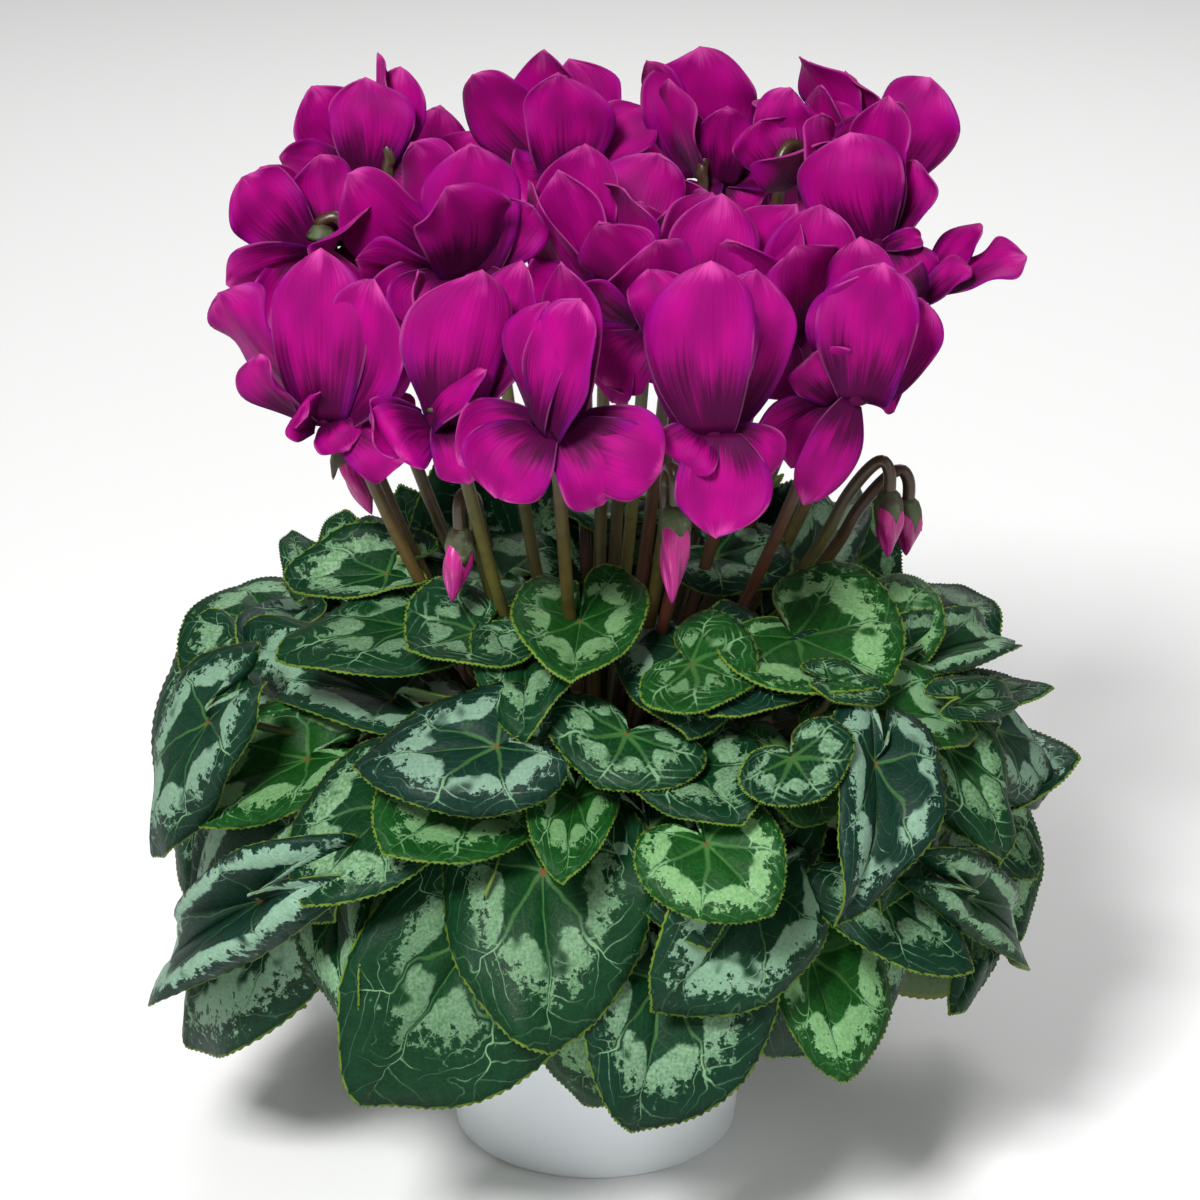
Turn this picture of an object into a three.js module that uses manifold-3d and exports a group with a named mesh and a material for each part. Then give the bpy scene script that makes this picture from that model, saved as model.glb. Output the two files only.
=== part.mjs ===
// Potted cyclamen: a white nursery pot filled with soil, a round tuber that sits half out of the
// soil, nodding blooms and buds on single stalks, and sprays of heart-shaped leaves that overlap
// like shingles in a low dome round the pot. Millimetres, +Z up. The origin is the middle of the
// pot's underside, and the front of the plant faces -Y.

import * as THREE from 'three';
import { mergeVertices } from 'three/addons/utils/BufferGeometryUtils.js';
import Module from 'manifold-3d';

const wasm = await Module();
wasm.setup();

const { Vector2, Vector3 } = THREE;
const radians = THREE.MathUtils.degToRad;

// Pot, soil and tuber
const POT_HEIGHT = 112;
const POT_BASE_RADIUS = 48;
const POT_WALL_TOP_RADIUS = 60;
const POT_RIM_RADIUS = 65;
const POT_RIM_HEIGHT = 9;
const POT_WALL = 1.6;
const POT_SIDES = 24;
const DRAIN_RADIUS = 4;
const DRAIN_RING = 30;
const DRAIN_COUNT = 5;
const SOIL_TOP = 98;
const TUBER_RADIUS = 33;
const TUBER_SIDES = 18;
const TUBER_BOTTOM = 76;
const CROWN_HEIGHT = 108;
const SEAT_GAP = 0.3;

// Blades, petals, stalks and petioles
const LEAF_THICKNESS = 0.8;
const PETAL_THICKNESS = 0.8;
const STALK_RADIUS = 2.1;
const STALK_FOOT_RADIUS = 1.6;
const STALK_SIDES = 4;
const PETIOLE_RADIUS = 1.4;
const ROOT_DEPTH = 8;
const STALK_RING = 15.5;
const STALK_SPACING = 4.6;
const STUB_RING = 23.5;
const STUB_RADIUS = 4;
const STUB_RISE = 10;
const SPRAY_COUNT = 8;

// The leaf dome, a rounded form that the blades lie on: its greatest radius, the height of
// that radius and the rise from there to its top
const DOME_RADIUS = 158;
const DOME_MIDDLE = 100;
const DOME_RISE = 112;
const DOME_POWER = 3;
const LAYER_STEP = 0.016;
const DEEPEST_LEVEL = 0.76;
const SEARCH_REACH = 230;

// The photograph's view, which places what it shows: elevation in degrees, millimetres to the
// point that it looks at, and its focal length and middle in photo pixels
const VIEW_ELEVATION = radians(21);
const VIEW_DISTANCE = 1300;
const VIEW_FOCAL = 3950;
const VIEW_MIDDLE = 600;
const VIEW_TARGET = new Vector3(1.6, 0, 190);

// Leaves in photo pixels: notch x, notch y, tip x, tip y and width, the innermost first
const LEAF_MARKS = [
  [400, 548, 335, 520, 60], [860, 560, 875, 500, 80], [815, 560, 845, 485, 80],
  [715, 545, 783, 572, 90], [320, 600, 245, 642, 90],
  [262, 597, 174, 652, 90], [205, 690, 172, 888, 115], [268, 840, 178, 1042, 190],
  [330, 900, 345, 1021, 85], [475, 930, 368, 1102, 230], [663, 985, 638, 1137, 187],
  [818, 955, 843, 1078, 120], [985, 890, 968, 1006, 75], [1010, 840, 1026, 936, 80],
  [925, 600, 998, 635, 90], [965, 735, 1071, 722, 130], [960, 680, 1048, 675, 50],
  [1005, 815, 1045, 872, 60], [940, 830, 1000, 858, 80], [855, 750, 885, 710, 60],
  [540, 870, 553, 1047, 212], [650, 825, 708, 944, 120], [765, 880, 668, 1013, 170],
  [385, 690, 233, 640, 100], [300, 755, 180, 806, 120], [320, 835, 325, 917, 125],
  [393, 800, 307, 902, 150], [472, 796, 387, 852, 140], [880, 885, 968, 966, 110],
  [910, 765, 885, 907, 90], [707, 842, 770, 912, 140], [575, 795, 563, 877, 88],
  [800, 765, 790, 817, 120], [680, 757, 742, 817, 135], [885, 625, 943, 620, 110],
  [955, 742, 1010, 853, 78], [865, 700, 980, 728, 95], [885, 760, 853, 920, 95],
  [627, 733, 598, 781, 165], [495, 742, 356, 762, 125], [410, 620, 279, 651, 92],
  [384, 568, 290, 578, 62], [527, 645, 521, 727, 110], [682, 645, 690, 731, 135],
  [768, 655, 712, 716, 130], [793, 757, 820, 798, 118], [478, 628, 413, 650, 95],
  [797, 631, 888, 677, 140], [692, 660, 752, 682, 112], [580, 615, 572, 690, 128],
];

// Rows of leaves on the side that the photograph hides: slope of the notch and of the tip seen
// from the middle of the dome, first and last azimuth in degrees, leaf count and width in mm
const HIDDEN_ROWS = [
  { notch: 68, tip: 50, from: 35, to: 145, count: 3, width: 50 },
  { notch: 45, tip: 25, from: 38, to: 142, count: 4, width: 60 },
  { notch: 21, tip: 1, from: 18, to: 160, count: 6, width: 60 },
  { notch: -4, tip: -26, from: 30, to: 150, count: 5, width: 64 },
];

// Blooms in photo pixels: x, y and depth in mm of the mouth, then for each petal the tip's x and
// y, its depth beyond the mouth in mm and the width that shows
const BLOOM_MARKS = {
  front_left: {
    mouth: [325, 422, -45],
    petals: [[320, 248, -6, 88], [364, 283, -14, 64], [218, 292, 10, 24], [256, 358, -12, 30]],
  },
  front_inner_left: {
    mouth: [440, 427, -85],
    petals: [[482, 270, -6, 94], [412, 271, 6, 22], [516, 259, 16, 70], [488, 372, -8, 34],
      [368, 440, -14, 58]],
  },
  front_middle: {
    mouth: [552, 433, -100],
    petals: [[580, 298, -10, 62], [546, 300, -2, 40], [563, 260, 14, 50], [662, 472, -14, 84],
      [458, 465, -12, 68]],
  },
  inner_middle: {
    mouth: [655, 338, -60],
    petals: [[648, 268, -2, 56], [612, 404, -10, 58], [690, 416, -6, 18]],
  },
  front_inner_right: {
    mouth: [713, 434, -95],
    petals: [[714, 266, -6, 100], [663, 350, 4, 20], [716, 538, -12, 86], [776, 480, -4, 38]],
  },
  front_right: {
    mouth: [852, 402, -55],
    petals: [[885, 268, -6, 94], [852, 240, 12, 60], [730, 475, -10, 44], [803, 505, -14, 48],
      [892, 409, 4, 16]],
  },
  inner_right: {
    mouth: [790, 345, -30],
    petals: [[821, 206, -4, 82], [855, 294, 8, 30]],
  },
  centre_right: {
    mouth: [690, 335, -35],
    petals: [[722, 193, -2, 82], [792, 202, 8, 40]],
  },
  middle_left: {
    mouth: [465, 277, -15],
    petals: [[350, 181, -4, 72], [470, 143, 0, 88], [413, 139, 12, 50], [356, 262, -8, 26]],
  },
  centre_left: {
    mouth: [605, 300, -10],
    petals: [[585, 143, 4, 76], [556, 170, -6, 58], [526, 180, 8, 48]],
  },
  centre: {
    mouth: [645, 262, 20],
    petals: [[668, 168, 0, 74], [692, 208, -4, 40]],
  },
  outer_left: {
    mouth: [322, 255, 5],
    petals: [[235, 180, -4, 78], [262, 169, 6, 58], [320, 157, 8, 58], [226, 290, -6, 38]],
  },
  middle_right: {
    mouth: [875, 248, 10],
    petals: [[850, 131, -4, 94], [885, 97, 10, 60], [913, 160, 4, 38], [915, 240, -2, 20]],
  },
  outer_right: {
    mouth: [918, 300, 5],
    petals: [[985, 226, 4, 48], [1021, 247, 0, 44], [971, 259, -6, 38]],
  },
  back_left: {
    mouth: [370, 173, 60],
    petals: [[315, 92, 0, 66], [365, 76, -2, 76], [397, 68, 8, 50], [281, 155, -4, 42],
      [375, 53, 14, 20]],
  },
  back_middle: {
    mouth: [575, 185, 75],
    petals: [[473, 72, 0, 66], [547, 46, 8, 56], [566, 63, -6, 96], [645, 105, 4, 44]],
  },
  back_inner_right: {
    mouth: [715, 185, 70],
    petals: [[702, 55, -2, 82], [645, 66, 6, 34], [670, 78, -6, 16], [728, 106, -10, 52],
      [796, 152, -6, 38]],
  },
  back_outer_right: {
    mouth: [800, 180, 50],
    petals: [[786, 86, 0, 66]],
  },
  back_right: {
    mouth: [868, 190, 65],
    petals: [[803, 52, 6, 34], [825, 82, -2, 44], [848, 67, 4, 40], [922, 78, -4, 62]],
  },
};

// Blooms on the hidden side: the mouth in mm
const HIDDEN_BLOOMS = {
  rear_left: [-66, 92, 276],
  rear_middle: [-4, 116, 272],
  rear_right: [66, 96, 278],
};

// Buds in photo pixels: x, y and depth in mm of the calyx, then of the hanging tip
const BUD_MARKS = {
  bud_front_left: { calyx: [460, 535, -62], tip: [452, 603, -66] },
  bud_front_middle: { calyx: [675, 512, -52], tip: [672, 603, -58] },
  bud_right_inner: { calyx: [889, 497, -22], tip: [888, 558, -26] },
  bud_right_outer: { calyx: [908, 505, -4], tip: [906, 556, -8] },
  bud_left: { calyx: [345, 450, -24], tip: [372, 515, -30] },
};

const COLOURS = {
  pot: { color: '#e9eff2', roughness: 0.45 },
  soil: { color: '#3a2a20', roughness: 0.95 },
  tuber: { color: '#6b4a34', roughness: 0.85 },
  petal: { color: '#b00080', roughness: 0.55 },
  stalk: { color: '#6a4a28', roughness: 0.6 },
  leaf: { color: '#1f4f38', roughness: 0.5 },
};

// Solids

// Joins equal corners, turns the faces outward and makes a solid for joining and cutting.
function solidOf(geometry) {
  geometry.deleteAttribute('normal');
  geometry.deleteAttribute('uv');
  const merged = mergeVertices(geometry, 1e-4);
  const places = merged.attributes.position.array;
  const corners = [];
  let volume = 0;
  for (let i = 0; i < merged.index.count; i += 3) {
    const [a, b, c] = [0, 1, 2].map((k) => merged.index.getX(i + k));
    if (a === b || b === c || c === a) continue;
    corners.push(a, b, c);
    const [p, q, r] = [a, b, c].map((k) => new Vector3().fromArray(places, 3 * k));
    volume += p.dot(q.cross(r));
  }
  if (volume < 0) corners.reverse();
  const mesh = new wasm.Mesh({
    numProp: 3,
    vertProperties: Float32Array.from(places),
    triVerts: Uint32Array.from(corners),
  });
  return new wasm.Manifold(mesh);
}

function geometryOf(solid) {
  const mesh = solid.getMesh();
  const geometry = new THREE.BufferGeometry();
  geometry.setAttribute('position', new THREE.BufferAttribute(mesh.vertProperties, 3));
  geometry.setIndex(new THREE.BufferAttribute(mesh.triVerts, 1));
  geometry.computeVertexNormals();
  return geometry;
}

const join = (solids) => solids.reduce((whole, solid) => whole.add(solid));

// The piece that is left when loose scraps are dropped.
function largestPiece(solid) {
  const pieces = solid.decompose();
  return pieces.reduce((best, piece) => (piece.volume() > best.volume() ? piece : best));
}

// A round body about +Z from a profile of radius and height pairs.
function turned(profile, sides) {
  const geometry = new THREE.LatheGeometry(profile.map(([r, z]) => new Vector2(r, z)), sides);
  geometry.rotateX(Math.PI / 2);
  return solidOf(geometry);
}

// A cylinder bent along a path, with its own radius at each point. Extra grows it all round.
function rod(points, radii, sides, extra = 0) {
  const path = points.map((point) => point.clone());
  const last = path.length - 1;
  const direction = (k) => {
    const [from, to] = [path[Math.max(k - 1, 0)], path[Math.min(k + 1, last)]];
    return to.clone().sub(from).normalize();
  };
  path[0].addScaledVector(direction(0), -extra);
  path[last].addScaledVector(direction(last), extra);
  const tangents = path.map((_, k) => direction(k));
  let side = new Vector3(1, 0, 0);
  if (Math.abs(tangents[0].x) > 0.9) side = new Vector3(0, 1, 0);
  side.addScaledVector(tangents[0], -side.dot(tangents[0])).normalize();
  const frames = tangents.map((tangent, k) => {
    const turn = new THREE.Quaternion().setFromUnitVectors(tangents[Math.max(k - 1, 0)], tangent);
    side = side.clone().applyQuaternion(turn);
    return { side, up: side.clone().cross(tangent) };
  });
  const geometry = new THREE.CylinderGeometry(1, 1, 1, sides, last);
  const position = geometry.attributes.position;
  for (let i = 0; i < position.count; i += 1) {
    const k = Math.round((position.getY(i) + 0.5) * last);
    const radius = radii[k] + extra;
    const place = path[k].clone()
      .addScaledVector(frames[k].side, position.getX(i) * radius)
      .addScaledVector(frames[k].up, position.getZ(i) * radius);
    position.setXYZ(i, place.x, place.y, place.z);
  }
  return solidOf(geometry);
}

// A sheet of triangles given a thickness, with the same triangles on both faces: the places of
// its corners and three corners for each triangle.
function thicken(sheet, thickness) {
  sheet.deleteAttribute('normal');
  sheet.deleteAttribute('uv');
  const merged = mergeVertices(sheet, 1e-4);
  merged.computeVertexNormals();
  const { position, normal } = merged.attributes;
  const count = position.count;
  const places = [];
  for (const sign of [0.5, -0.5]) {
    for (let i = 0; i < count; i += 1) {
      const place = new Vector3().fromBufferAttribute(position, i);
      const out = new Vector3().fromBufferAttribute(normal, i);
      places.push(place.addScaledVector(out, sign * thickness));
    }
  }
  const triangles = [];
  const edges = new Set();
  for (let i = 0; i < merged.index.count; i += 3) {
    const [a, b, c] = [0, 1, 2].map((k) => merged.index.getX(i + k));
    triangles.push([a, b, c], [a + count, c + count, b + count]);
    for (const edge of [[a, b], [b, c], [c, a]]) edges.add(edge.join());
  }
  for (const edge of edges) {
    const [a, b] = edge.split(',').map(Number);
    if (edges.has(`${b},${a}`)) continue;
    triangles.push([b, a, a + count], [b, a + count, b + count]);
  }
  return { places, triangles };
}

function slabSolid({ places, triangles }) {
  const geometry = new THREE.BufferGeometry().setFromPoints(places);
  geometry.setIndex(triangles.flat());
  return solidOf(geometry);
}

const middleOf = (corners, places) => corners.reduce((sum, corner) => sum.add(places[corner]),
  new Vector3()).divideScalar(3);

function nearestTriangle({ places, triangles }, point) {
  const distances = triangles.map((one) => middleOf(one, places).distanceTo(point));
  return distances.indexOf(Math.min(...distances));
}

// Draws one triangle out along a line into a three-sided rod.
function drawOut({ places, triangles }, drawn, line, radius) {
  let [ring] = triangles.splice(drawn, 1);
  let arm = places[ring[0]].clone().sub(middleOf(ring, places));
  for (let k = 1; k < line.length; k += 1) {
    const ahead = line[Math.min(k + 1, line.length - 1)].clone().sub(line[k - 1]).normalize();
    arm = arm.clone().addScaledVector(ahead, -arm.dot(ahead)).setLength(radius);
    const next = [0, 1, 2].map((third) => {
      const turned120 = arm.clone().applyAxisAngle(ahead, (third * 2 * Math.PI) / 3);
      return places.push(turned120.add(line[k])) - 1;
    });
    for (const [a, b] of [[0, 1], [1, 2], [2, 0]]) {
      triangles.push([ring[a], ring[b], next[b]], [ring[a], next[b], next[a]]);
    }
    ring = next;
  }
  triangles.push(ring);
  return { places, triangles };
}

// The photograph's view

const viewAhead = new Vector3(0, Math.cos(VIEW_ELEVATION), -Math.sin(VIEW_ELEVATION));
const viewUp = new Vector3(0, Math.sin(VIEW_ELEVATION), Math.cos(VIEW_ELEVATION));
const viewRight = new Vector3(1, 0, 0);
const eye = VIEW_TARGET.clone().addScaledVector(viewAhead, -VIEW_DISTANCE);

function sightLine(x, y) {
  return viewAhead.clone()
    .addScaledVector(viewRight, (x - VIEW_MIDDLE) / VIEW_FOCAL)
    .addScaledVector(viewUp, (VIEW_MIDDLE - y) / VIEW_FOCAL);
}

// The point on a pixel's line of sight at a depth behind the plant's axis.
function atDepth(x, y, depth) {
  const line = sightLine(x, y);
  return eye.clone().addScaledVector(line, (depth - eye.y) / line.y);
}

const millimetresPerPixel = (point) => point.clone().sub(eye).dot(viewAhead) / VIEW_FOCAL;

// A small repeatable number from -1 to 1, for the differences between like pieces.
function vary(...seeds) {
  const sum = seeds.reduce((total, seed, k) => total + seed * (12.9898 + 65.31 * k), 0.5);
  const wave = Math.sin(sum) * 43758.5453;
  return 2 * (wave - Math.floor(wave)) - 1;
}

// The leaf dome

const domeCentre = new Vector3(0, 0, DOME_MIDDLE);

// How far out a point lies: 1 on the dome's surface and less inside it.
function domeLevel(point) {
  const round = Math.hypot(point.x, point.y) / DOME_RADIUS;
  const high = Math.abs(point.z - DOME_MIDDLE) / DOME_RISE;
  return (round ** DOME_POWER + high ** DOME_POWER) ** (1 / DOME_POWER);
}

function toLevel(point, level) {
  const scale = level / domeLevel(point);
  return point.clone().sub(domeCentre).multiplyScalar(scale).add(domeCentre);
}

function domeNormal(point) {
  const round = Math.max(Math.hypot(point.x, point.y), 1e-6);
  const out = (round / DOME_RADIUS) ** (DOME_POWER - 1) / DOME_RADIUS;
  const high = (point.z - DOME_MIDDLE) / DOME_RISE;
  const rise = Math.sign(high) * Math.abs(high) ** (DOME_POWER - 1) / DOME_RISE;
  return new Vector3(out * point.x / round, out * point.y / round, rise).normalize();
}

// Where a pixel's line of sight first meets the dome, or comes closest to it.
function onDome(x, y, level) {
  const line = sightLine(x, y);
  const along = (distance) => eye.clone().addScaledVector(line, distance);
  const [nearest, furthest] = [VIEW_DISTANCE - SEARCH_REACH, VIEW_DISTANCE + SEARCH_REACH];
  let best = VIEW_DISTANCE;
  for (let distance = nearest; distance < furthest; distance += 1) {
    if (domeLevel(along(distance)) < domeLevel(along(best))) best = distance;
    if (domeLevel(along(distance)) <= level) return along(distance);
  }
  return along(best);
}

function domePoint(azimuth, slope, level) {
  const flat = Math.cos(slope);
  const way = new Vector3(flat * Math.cos(azimuth), flat * Math.sin(azimuth), Math.sin(slope));
  return toLevel(way.add(domeCentre), level);
}

// Leaves

// Half of a leaf's outline from the tip round the side lobe to the notch: along the midrib in
// leaf lengths and across it in half widths
const HALF_LEAF = new THREE.SplineCurve([
  new Vector2(1.04, 0), new Vector2(0.84, 0.38), new Vector2(0.5, 0.78), new Vector2(0.1, 1),
  new Vector2(-0.26, 0.88), new Vector2(-0.46, 0.52), new Vector2(-0.36, 0.18),
  new Vector2(-0.04, 0),
]);
const LEAF_MIDDLE = 0.1;
const TOOTH = 0.03;
const LEAF_WAVE = 0.8;
const TOOTH_SPACING = 13;
const LEAST_SHOWN = 0.62;
const BLADES_APART = 40;

function leafOutline(count) {
  const points = [];
  for (let i = 0; i <= count; i += 1) {
    const turn = (2 * i) / count;
    const point = HALF_LEAF.getPoint(turn <= 1 ? turn : 2 - turn);
    const tooth = 1 + (i % 2 === 0 ? TOOTH : -TOOTH);
    const side = turn <= 1 ? 1 : -1;
    points.push(new Vector2(point.x * tooth, side * point.y * tooth));
  }
  return points;
}

// A leaf's own directions: along its midrib, across it and out from the dome. Its blade may lie
// deeper at the notch than at the tip.
function leafAxes(notch, tip, notchLevel, tipLevel, width) {
  const along = tip.clone().sub(notch);
  const length = along.length();
  along.normalize();
  const out = domeNormal(notch.clone().lerp(tip, 0.5));
  out.addScaledVector(along, -out.dot(along)).normalize();
  const across = out.clone().cross(along);
  return { notch, along, out, across, length, width, notchLevel, tipLevel };
}

function seenLeaf([notchX, notchY, tipX, tipY, seenWidth], notchLevel, tipLevel) {
  const notch = onDome(notchX, notchY, notchLevel);
  const tip = onDome(tipX, tipY, tipLevel);
  const leaf = leafAxes(notch, tip, domeLevel(notch), domeLevel(tip), 1);
  const sight = notch.clone().sub(eye).normalize();
  const shown = Math.sqrt(1 - leaf.across.dot(sight) ** 2);
  leaf.width = seenWidth * millimetresPerPixel(notch) / Math.max(shown, LEAST_SHOWN);
  return leaf;
}

function hiddenLeaf({ azimuth, notchSlope, tipSlope, lean, width }, notchLevel, tipLevel) {
  const notch = domePoint(azimuth, notchSlope, notchLevel);
  const tip = domePoint(azimuth + lean, tipSlope, tipLevel);
  return leafAxes(notch, tip, notchLevel, tipLevel, width);
}

const levelAt = (leaf, u) => THREE.MathUtils.lerp(leaf.notchLevel, leaf.tipLevel, u);

function leafPlace(leaf, u, v, lift = 0) {
  const flat = leaf.notch.clone()
    .addScaledVector(leaf.along, u * leaf.length)
    .addScaledVector(leaf.across, v * leaf.width / 2);
  return toLevel(flat, levelAt(leaf, u) + lift / DOME_RADIUS);
}

const SAMPLE_OUTLINE = leafOutline(16);

// Where a point lies along a leaf that is over or under it, or null beside the leaf.
function shareUnder(leaf, point) {
  const offset = toLevel(point, levelAt(leaf, 0.4)).sub(leaf.notch);
  if (Math.abs(offset.dot(leaf.out)) > BLADES_APART) return null;
  const x = offset.dot(leaf.along) / leaf.length;
  const y = offset.dot(leaf.across) / (leaf.width / 2);
  let inside = false;
  SAMPLE_OUTLINE.forEach((a, i) => {
    const b = SAMPLE_OUTLINE[(i + 1) % SAMPLE_OUTLINE.length];
    const between = a.y > y !== b.y > y;
    if (between && x < a.x + ((b.x - a.x) * (y - a.y)) / (b.y - a.y)) inside = !inside;
  });
  return inside ? x : null;
}

function samplePoints(leaf) {
  const samples = [{ share: LEAF_MIDDLE, point: leafPlace(leaf, LEAF_MIDDLE, 0) }];
  for (const size of [0.55, 1.06]) {
    for (const { x, y } of SAMPLE_OUTLINE) {
      samples.push({ share: x * size, point: leafPlace(leaf, x * size, y * size) });
    }
  }
  return samples;
}

// How far out a leaf may lie at places along it, under the leaves already laid.
function limitsUnder(laid, leaf) {
  const limits = [];
  const own = samplePoints(leaf);
  for (const other of laid) {
    for (const { share, point } of own) {
      const above = shareUnder(other, point);
      if (above !== null) limits.push([share, levelAt(other, above) - LAYER_STEP]);
    }
    for (const { share, point } of other.samples) {
      const below = shareUnder(leaf, point);
      if (below !== null) limits.push([below, levelAt(other, share) - LAYER_STEP]);
    }
  }
  return limits;
}

// How much deeper a notch may lie than its tip, how often a leaf is tried, and the share of its
// tilt by which its middle is deeper than its tip
const TILTS = [0, 0.02, 0.04, 0.06, 0.08, 0.11, 0.14];
const LAYING_PASSES = 5;
const MIDDLE_SHARE = 0.6;

// Lays a leaf as far out as the leaves over it let it, tilted like a shingle where that helps.
function layLeaf(make, laid) {
  let leaf = make(1, 1);
  const limits = [];
  for (let pass = 0; pass < LAYING_PASSES; pass += 1) {
    limits.push(...limitsUnder(laid, leaf));
    const ways = TILTS.map((tilt) => {
      const tips = limits.map(([share, level]) => level + tilt * (1 - share));
      const tip = Math.max(DEEPEST_LEVEL + tilt, Math.min(1, ...tips));
      return { tilt, tip, middle: tip - MIDDLE_SHARE * tilt };
    });
    const best = ways.reduce((a, b) => (b.middle > a.middle + 1e-6 ? b : a));
    leaf = make(best.tip - best.tilt, best.tip);
  }
  leaf.samples = samplePoints(leaf);
  return leaf;
}

// Every leaf, from the outermost in. Those of a hidden row overlap by turns.
function layLeaves() {
  const makers = LEAF_MARKS.map((mark) => (notchLevel, tipLevel) => (
    seenLeaf(mark, notchLevel, tipLevel))).reverse();
  HIDDEN_ROWS.forEach((row, rowNumber) => {
    const order = Array.from({ length: row.count }, (_, i) => i);
    order.sort((a, b) => (a % 2) - (b % 2));
    for (const i of order) {
      const step = (row.to - row.from) / (row.count - 1);
      const place = {
        azimuth: radians(row.from + step * (i + 0.3 * vary(i, rowNumber))),
        notchSlope: radians(row.notch + 4 * vary(i, rowNumber, 1)),
        tipSlope: radians(row.tip + 3 * vary(i, rowNumber, 2)),
        lean: radians(8 * vary(i, rowNumber, 3)),
        width: row.width * (1 + 0.15 * vary(i, rowNumber, 4)),
      };
      makers.push((notchLevel, tipLevel) => hiddenLeaf(place, notchLevel, tipLevel));
    }
  });
  const laid = [];
  for (const make of makers) laid.push(layLeaf(make, laid));
  return laid;
}

function blade(leaf, thickness = LEAF_THICKNESS, margin = 0) {
  const count = 4 * Math.round(THREE.MathUtils.clamp(leaf.width / TOOTH_SPACING, 3, 5));
  const outline = leafOutline(count);
  const size = new Vector2(leaf.length, leaf.width / 2);
  const sheet = new THREE.CircleGeometry(1, count);
  const position = sheet.attributes.position;
  for (let i = 0; i < position.count; i += 1) {
    const spot = new Vector2(LEAF_MIDDLE, 0);
    let wave = 0;
    if (i > 0) {
      const [before, after] = [outline[(i - 2 + count) % count], outline[i % count]];
      const edge = after.clone().sub(before).multiply(size);
      const outside = new Vector2(edge.y, -edge.x).setLength(margin);
      spot.copy(outline[i - 1]).add(outside.divide(size));
      wave = LEAF_WAVE * Math.sin((6 * Math.PI * i) / count);
    }
    const place = leafPlace(leaf, spot.x, spot.y, wave);
    position.setXYZ(i, place.x, place.y, place.z);
  }
  return thicken(sheet, thickness);
}

// Stalks

// How far out a stalk's foot is for each millimetre that its top is, and the passes that part them
const FOOT_SHARE = 0.13;
const SPREAD_PASSES = 200;

// Moves the feet of the stalks apart until none is closer to another than the spacing.
function spreadFeet(tops) {
  const feet = tops.map((top) => new Vector2(top.x, top.y).multiplyScalar(FOOT_SHARE));
  for (let pass = 0; pass < SPREAD_PASSES; pass += 1) {
    feet.forEach((foot, i) => {
      for (const other of feet.slice(i + 1)) {
        const apart = other.clone().sub(foot);
        const missing = STALK_SPACING - apart.length();
        if (missing <= 0) continue;
        apart.setLength(missing / 2);
        other.add(apart);
        foot.sub(apart);
      }
      foot.clampLength(0, STALK_RING);
    });
  }
  return feet;
}

// A stalk's line: up from its hole in the tuber, apart from the others all the way, and over in
// a small hook to the point that it carries.
const HOOK_REACH = 9.5;
const HOOK_RISE = 12.5;
const HOOK_DROP = 6;
const MIDDLE_REACH = 12;

function stalkLine(foot, end) {
  const inward = new Vector3(-end.x, -end.y, 0);
  if (inward.length() < MIDDLE_REACH) inward.set(0, 1, 0);
  inward.normalize();
  const neck = end.clone().addScaledVector(inward, HOOK_REACH);
  const start = new Vector3(foot.x, foot.y, CROWN_HEIGHT);
  const points = [start.clone().setZ(CROWN_HEIGHT - ROOT_DEPTH), start.clone()];
  points[1].z += 2;
  for (const [rise, spread] of [[0.12, 0.05], [0.36, 0.36], [0.66, 0.7]]) {
    const height = THREE.MathUtils.lerp(CROWN_HEIGHT, neck.z - HOOK_DROP, rise);
    points.push(start.clone().lerp(neck, spread).setZ(height));
  }
  points.push(neck.clone().setZ(neck.z - HOOK_DROP));
  for (const [reach, rise] of [[0.95, 7], [0.5, HOOK_RISE], [0, 11]]) {
    const point = end.clone().addScaledVector(inward, reach * HOOK_REACH);
    points.push(point.setZ(end.z + rise));
  }
  return points;
}

const stalkRadii = (line) => line.map((_, k) => (k < 3 ? STALK_FOOT_RADIUS : STALK_RADIUS));

// Blooms

const TUBE_RADIUS = 5.2;
const TUBE_HEIGHT = 6.5;
const CALYX_RADIUS = 3.6;
const CLAW_ANGLES = [-125, -62, 0, 62, 125].map(radians);
const CLAW_SPREAD = radians(250);
const PETAL_ROWS = 3;
const PETAL_LENGTH = 52;
const PETAL_WIDTH = 27;
const PETAL_LEAN = 26;
const PETAL_CUP = 3;
const PETAL_BULGE = 7;
const PETAL_LIFT = 4;
const PINWHEEL = radians(38);

// A petal that the photograph hides stays this much below the highest one it shows
const HIDDEN_DROP = 8;
const HIDDEN_RISE = 24;

// The share of its half width that a petal has at each share of its length.
function petalSpread(share) {
  return 0.22 + 0.78 * Math.sin(Math.PI * (0.93 * share) ** 1.25) ** 0.85;
}

function petal({ claw, tip, across, width, bulge, columns }, thickness, size) {
  const middle = claw.clone().lerp(tip, 0.45).add(bulge);
  const spine = new THREE.QuadraticBezierCurve3(claw, middle, tip);
  const sheet = new THREE.PlaneGeometry(1, 1, columns, PETAL_ROWS);
  const position = sheet.attributes.position;
  for (let i = 0; i < position.count; i += 1) {
    const side = 2 * position.getX(i);
    const share = position.getY(i) + 0.5;
    const back = side * side;
    const place = spine.getPoint(share * (1 - 0.06 * back * share));
    const normal = across.clone().cross(spine.getTangent(share)).normalize();
    place.addScaledVector(across, side * size * petalSpread(share) * width / 2);
    place.addScaledVector(normal, -PETAL_CUP * back * petalSpread(share));
    position.setXYZ(i, place.x, place.y, place.z);
  }
  return slabSolid(thicken(sheet, thickness));
}

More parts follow.
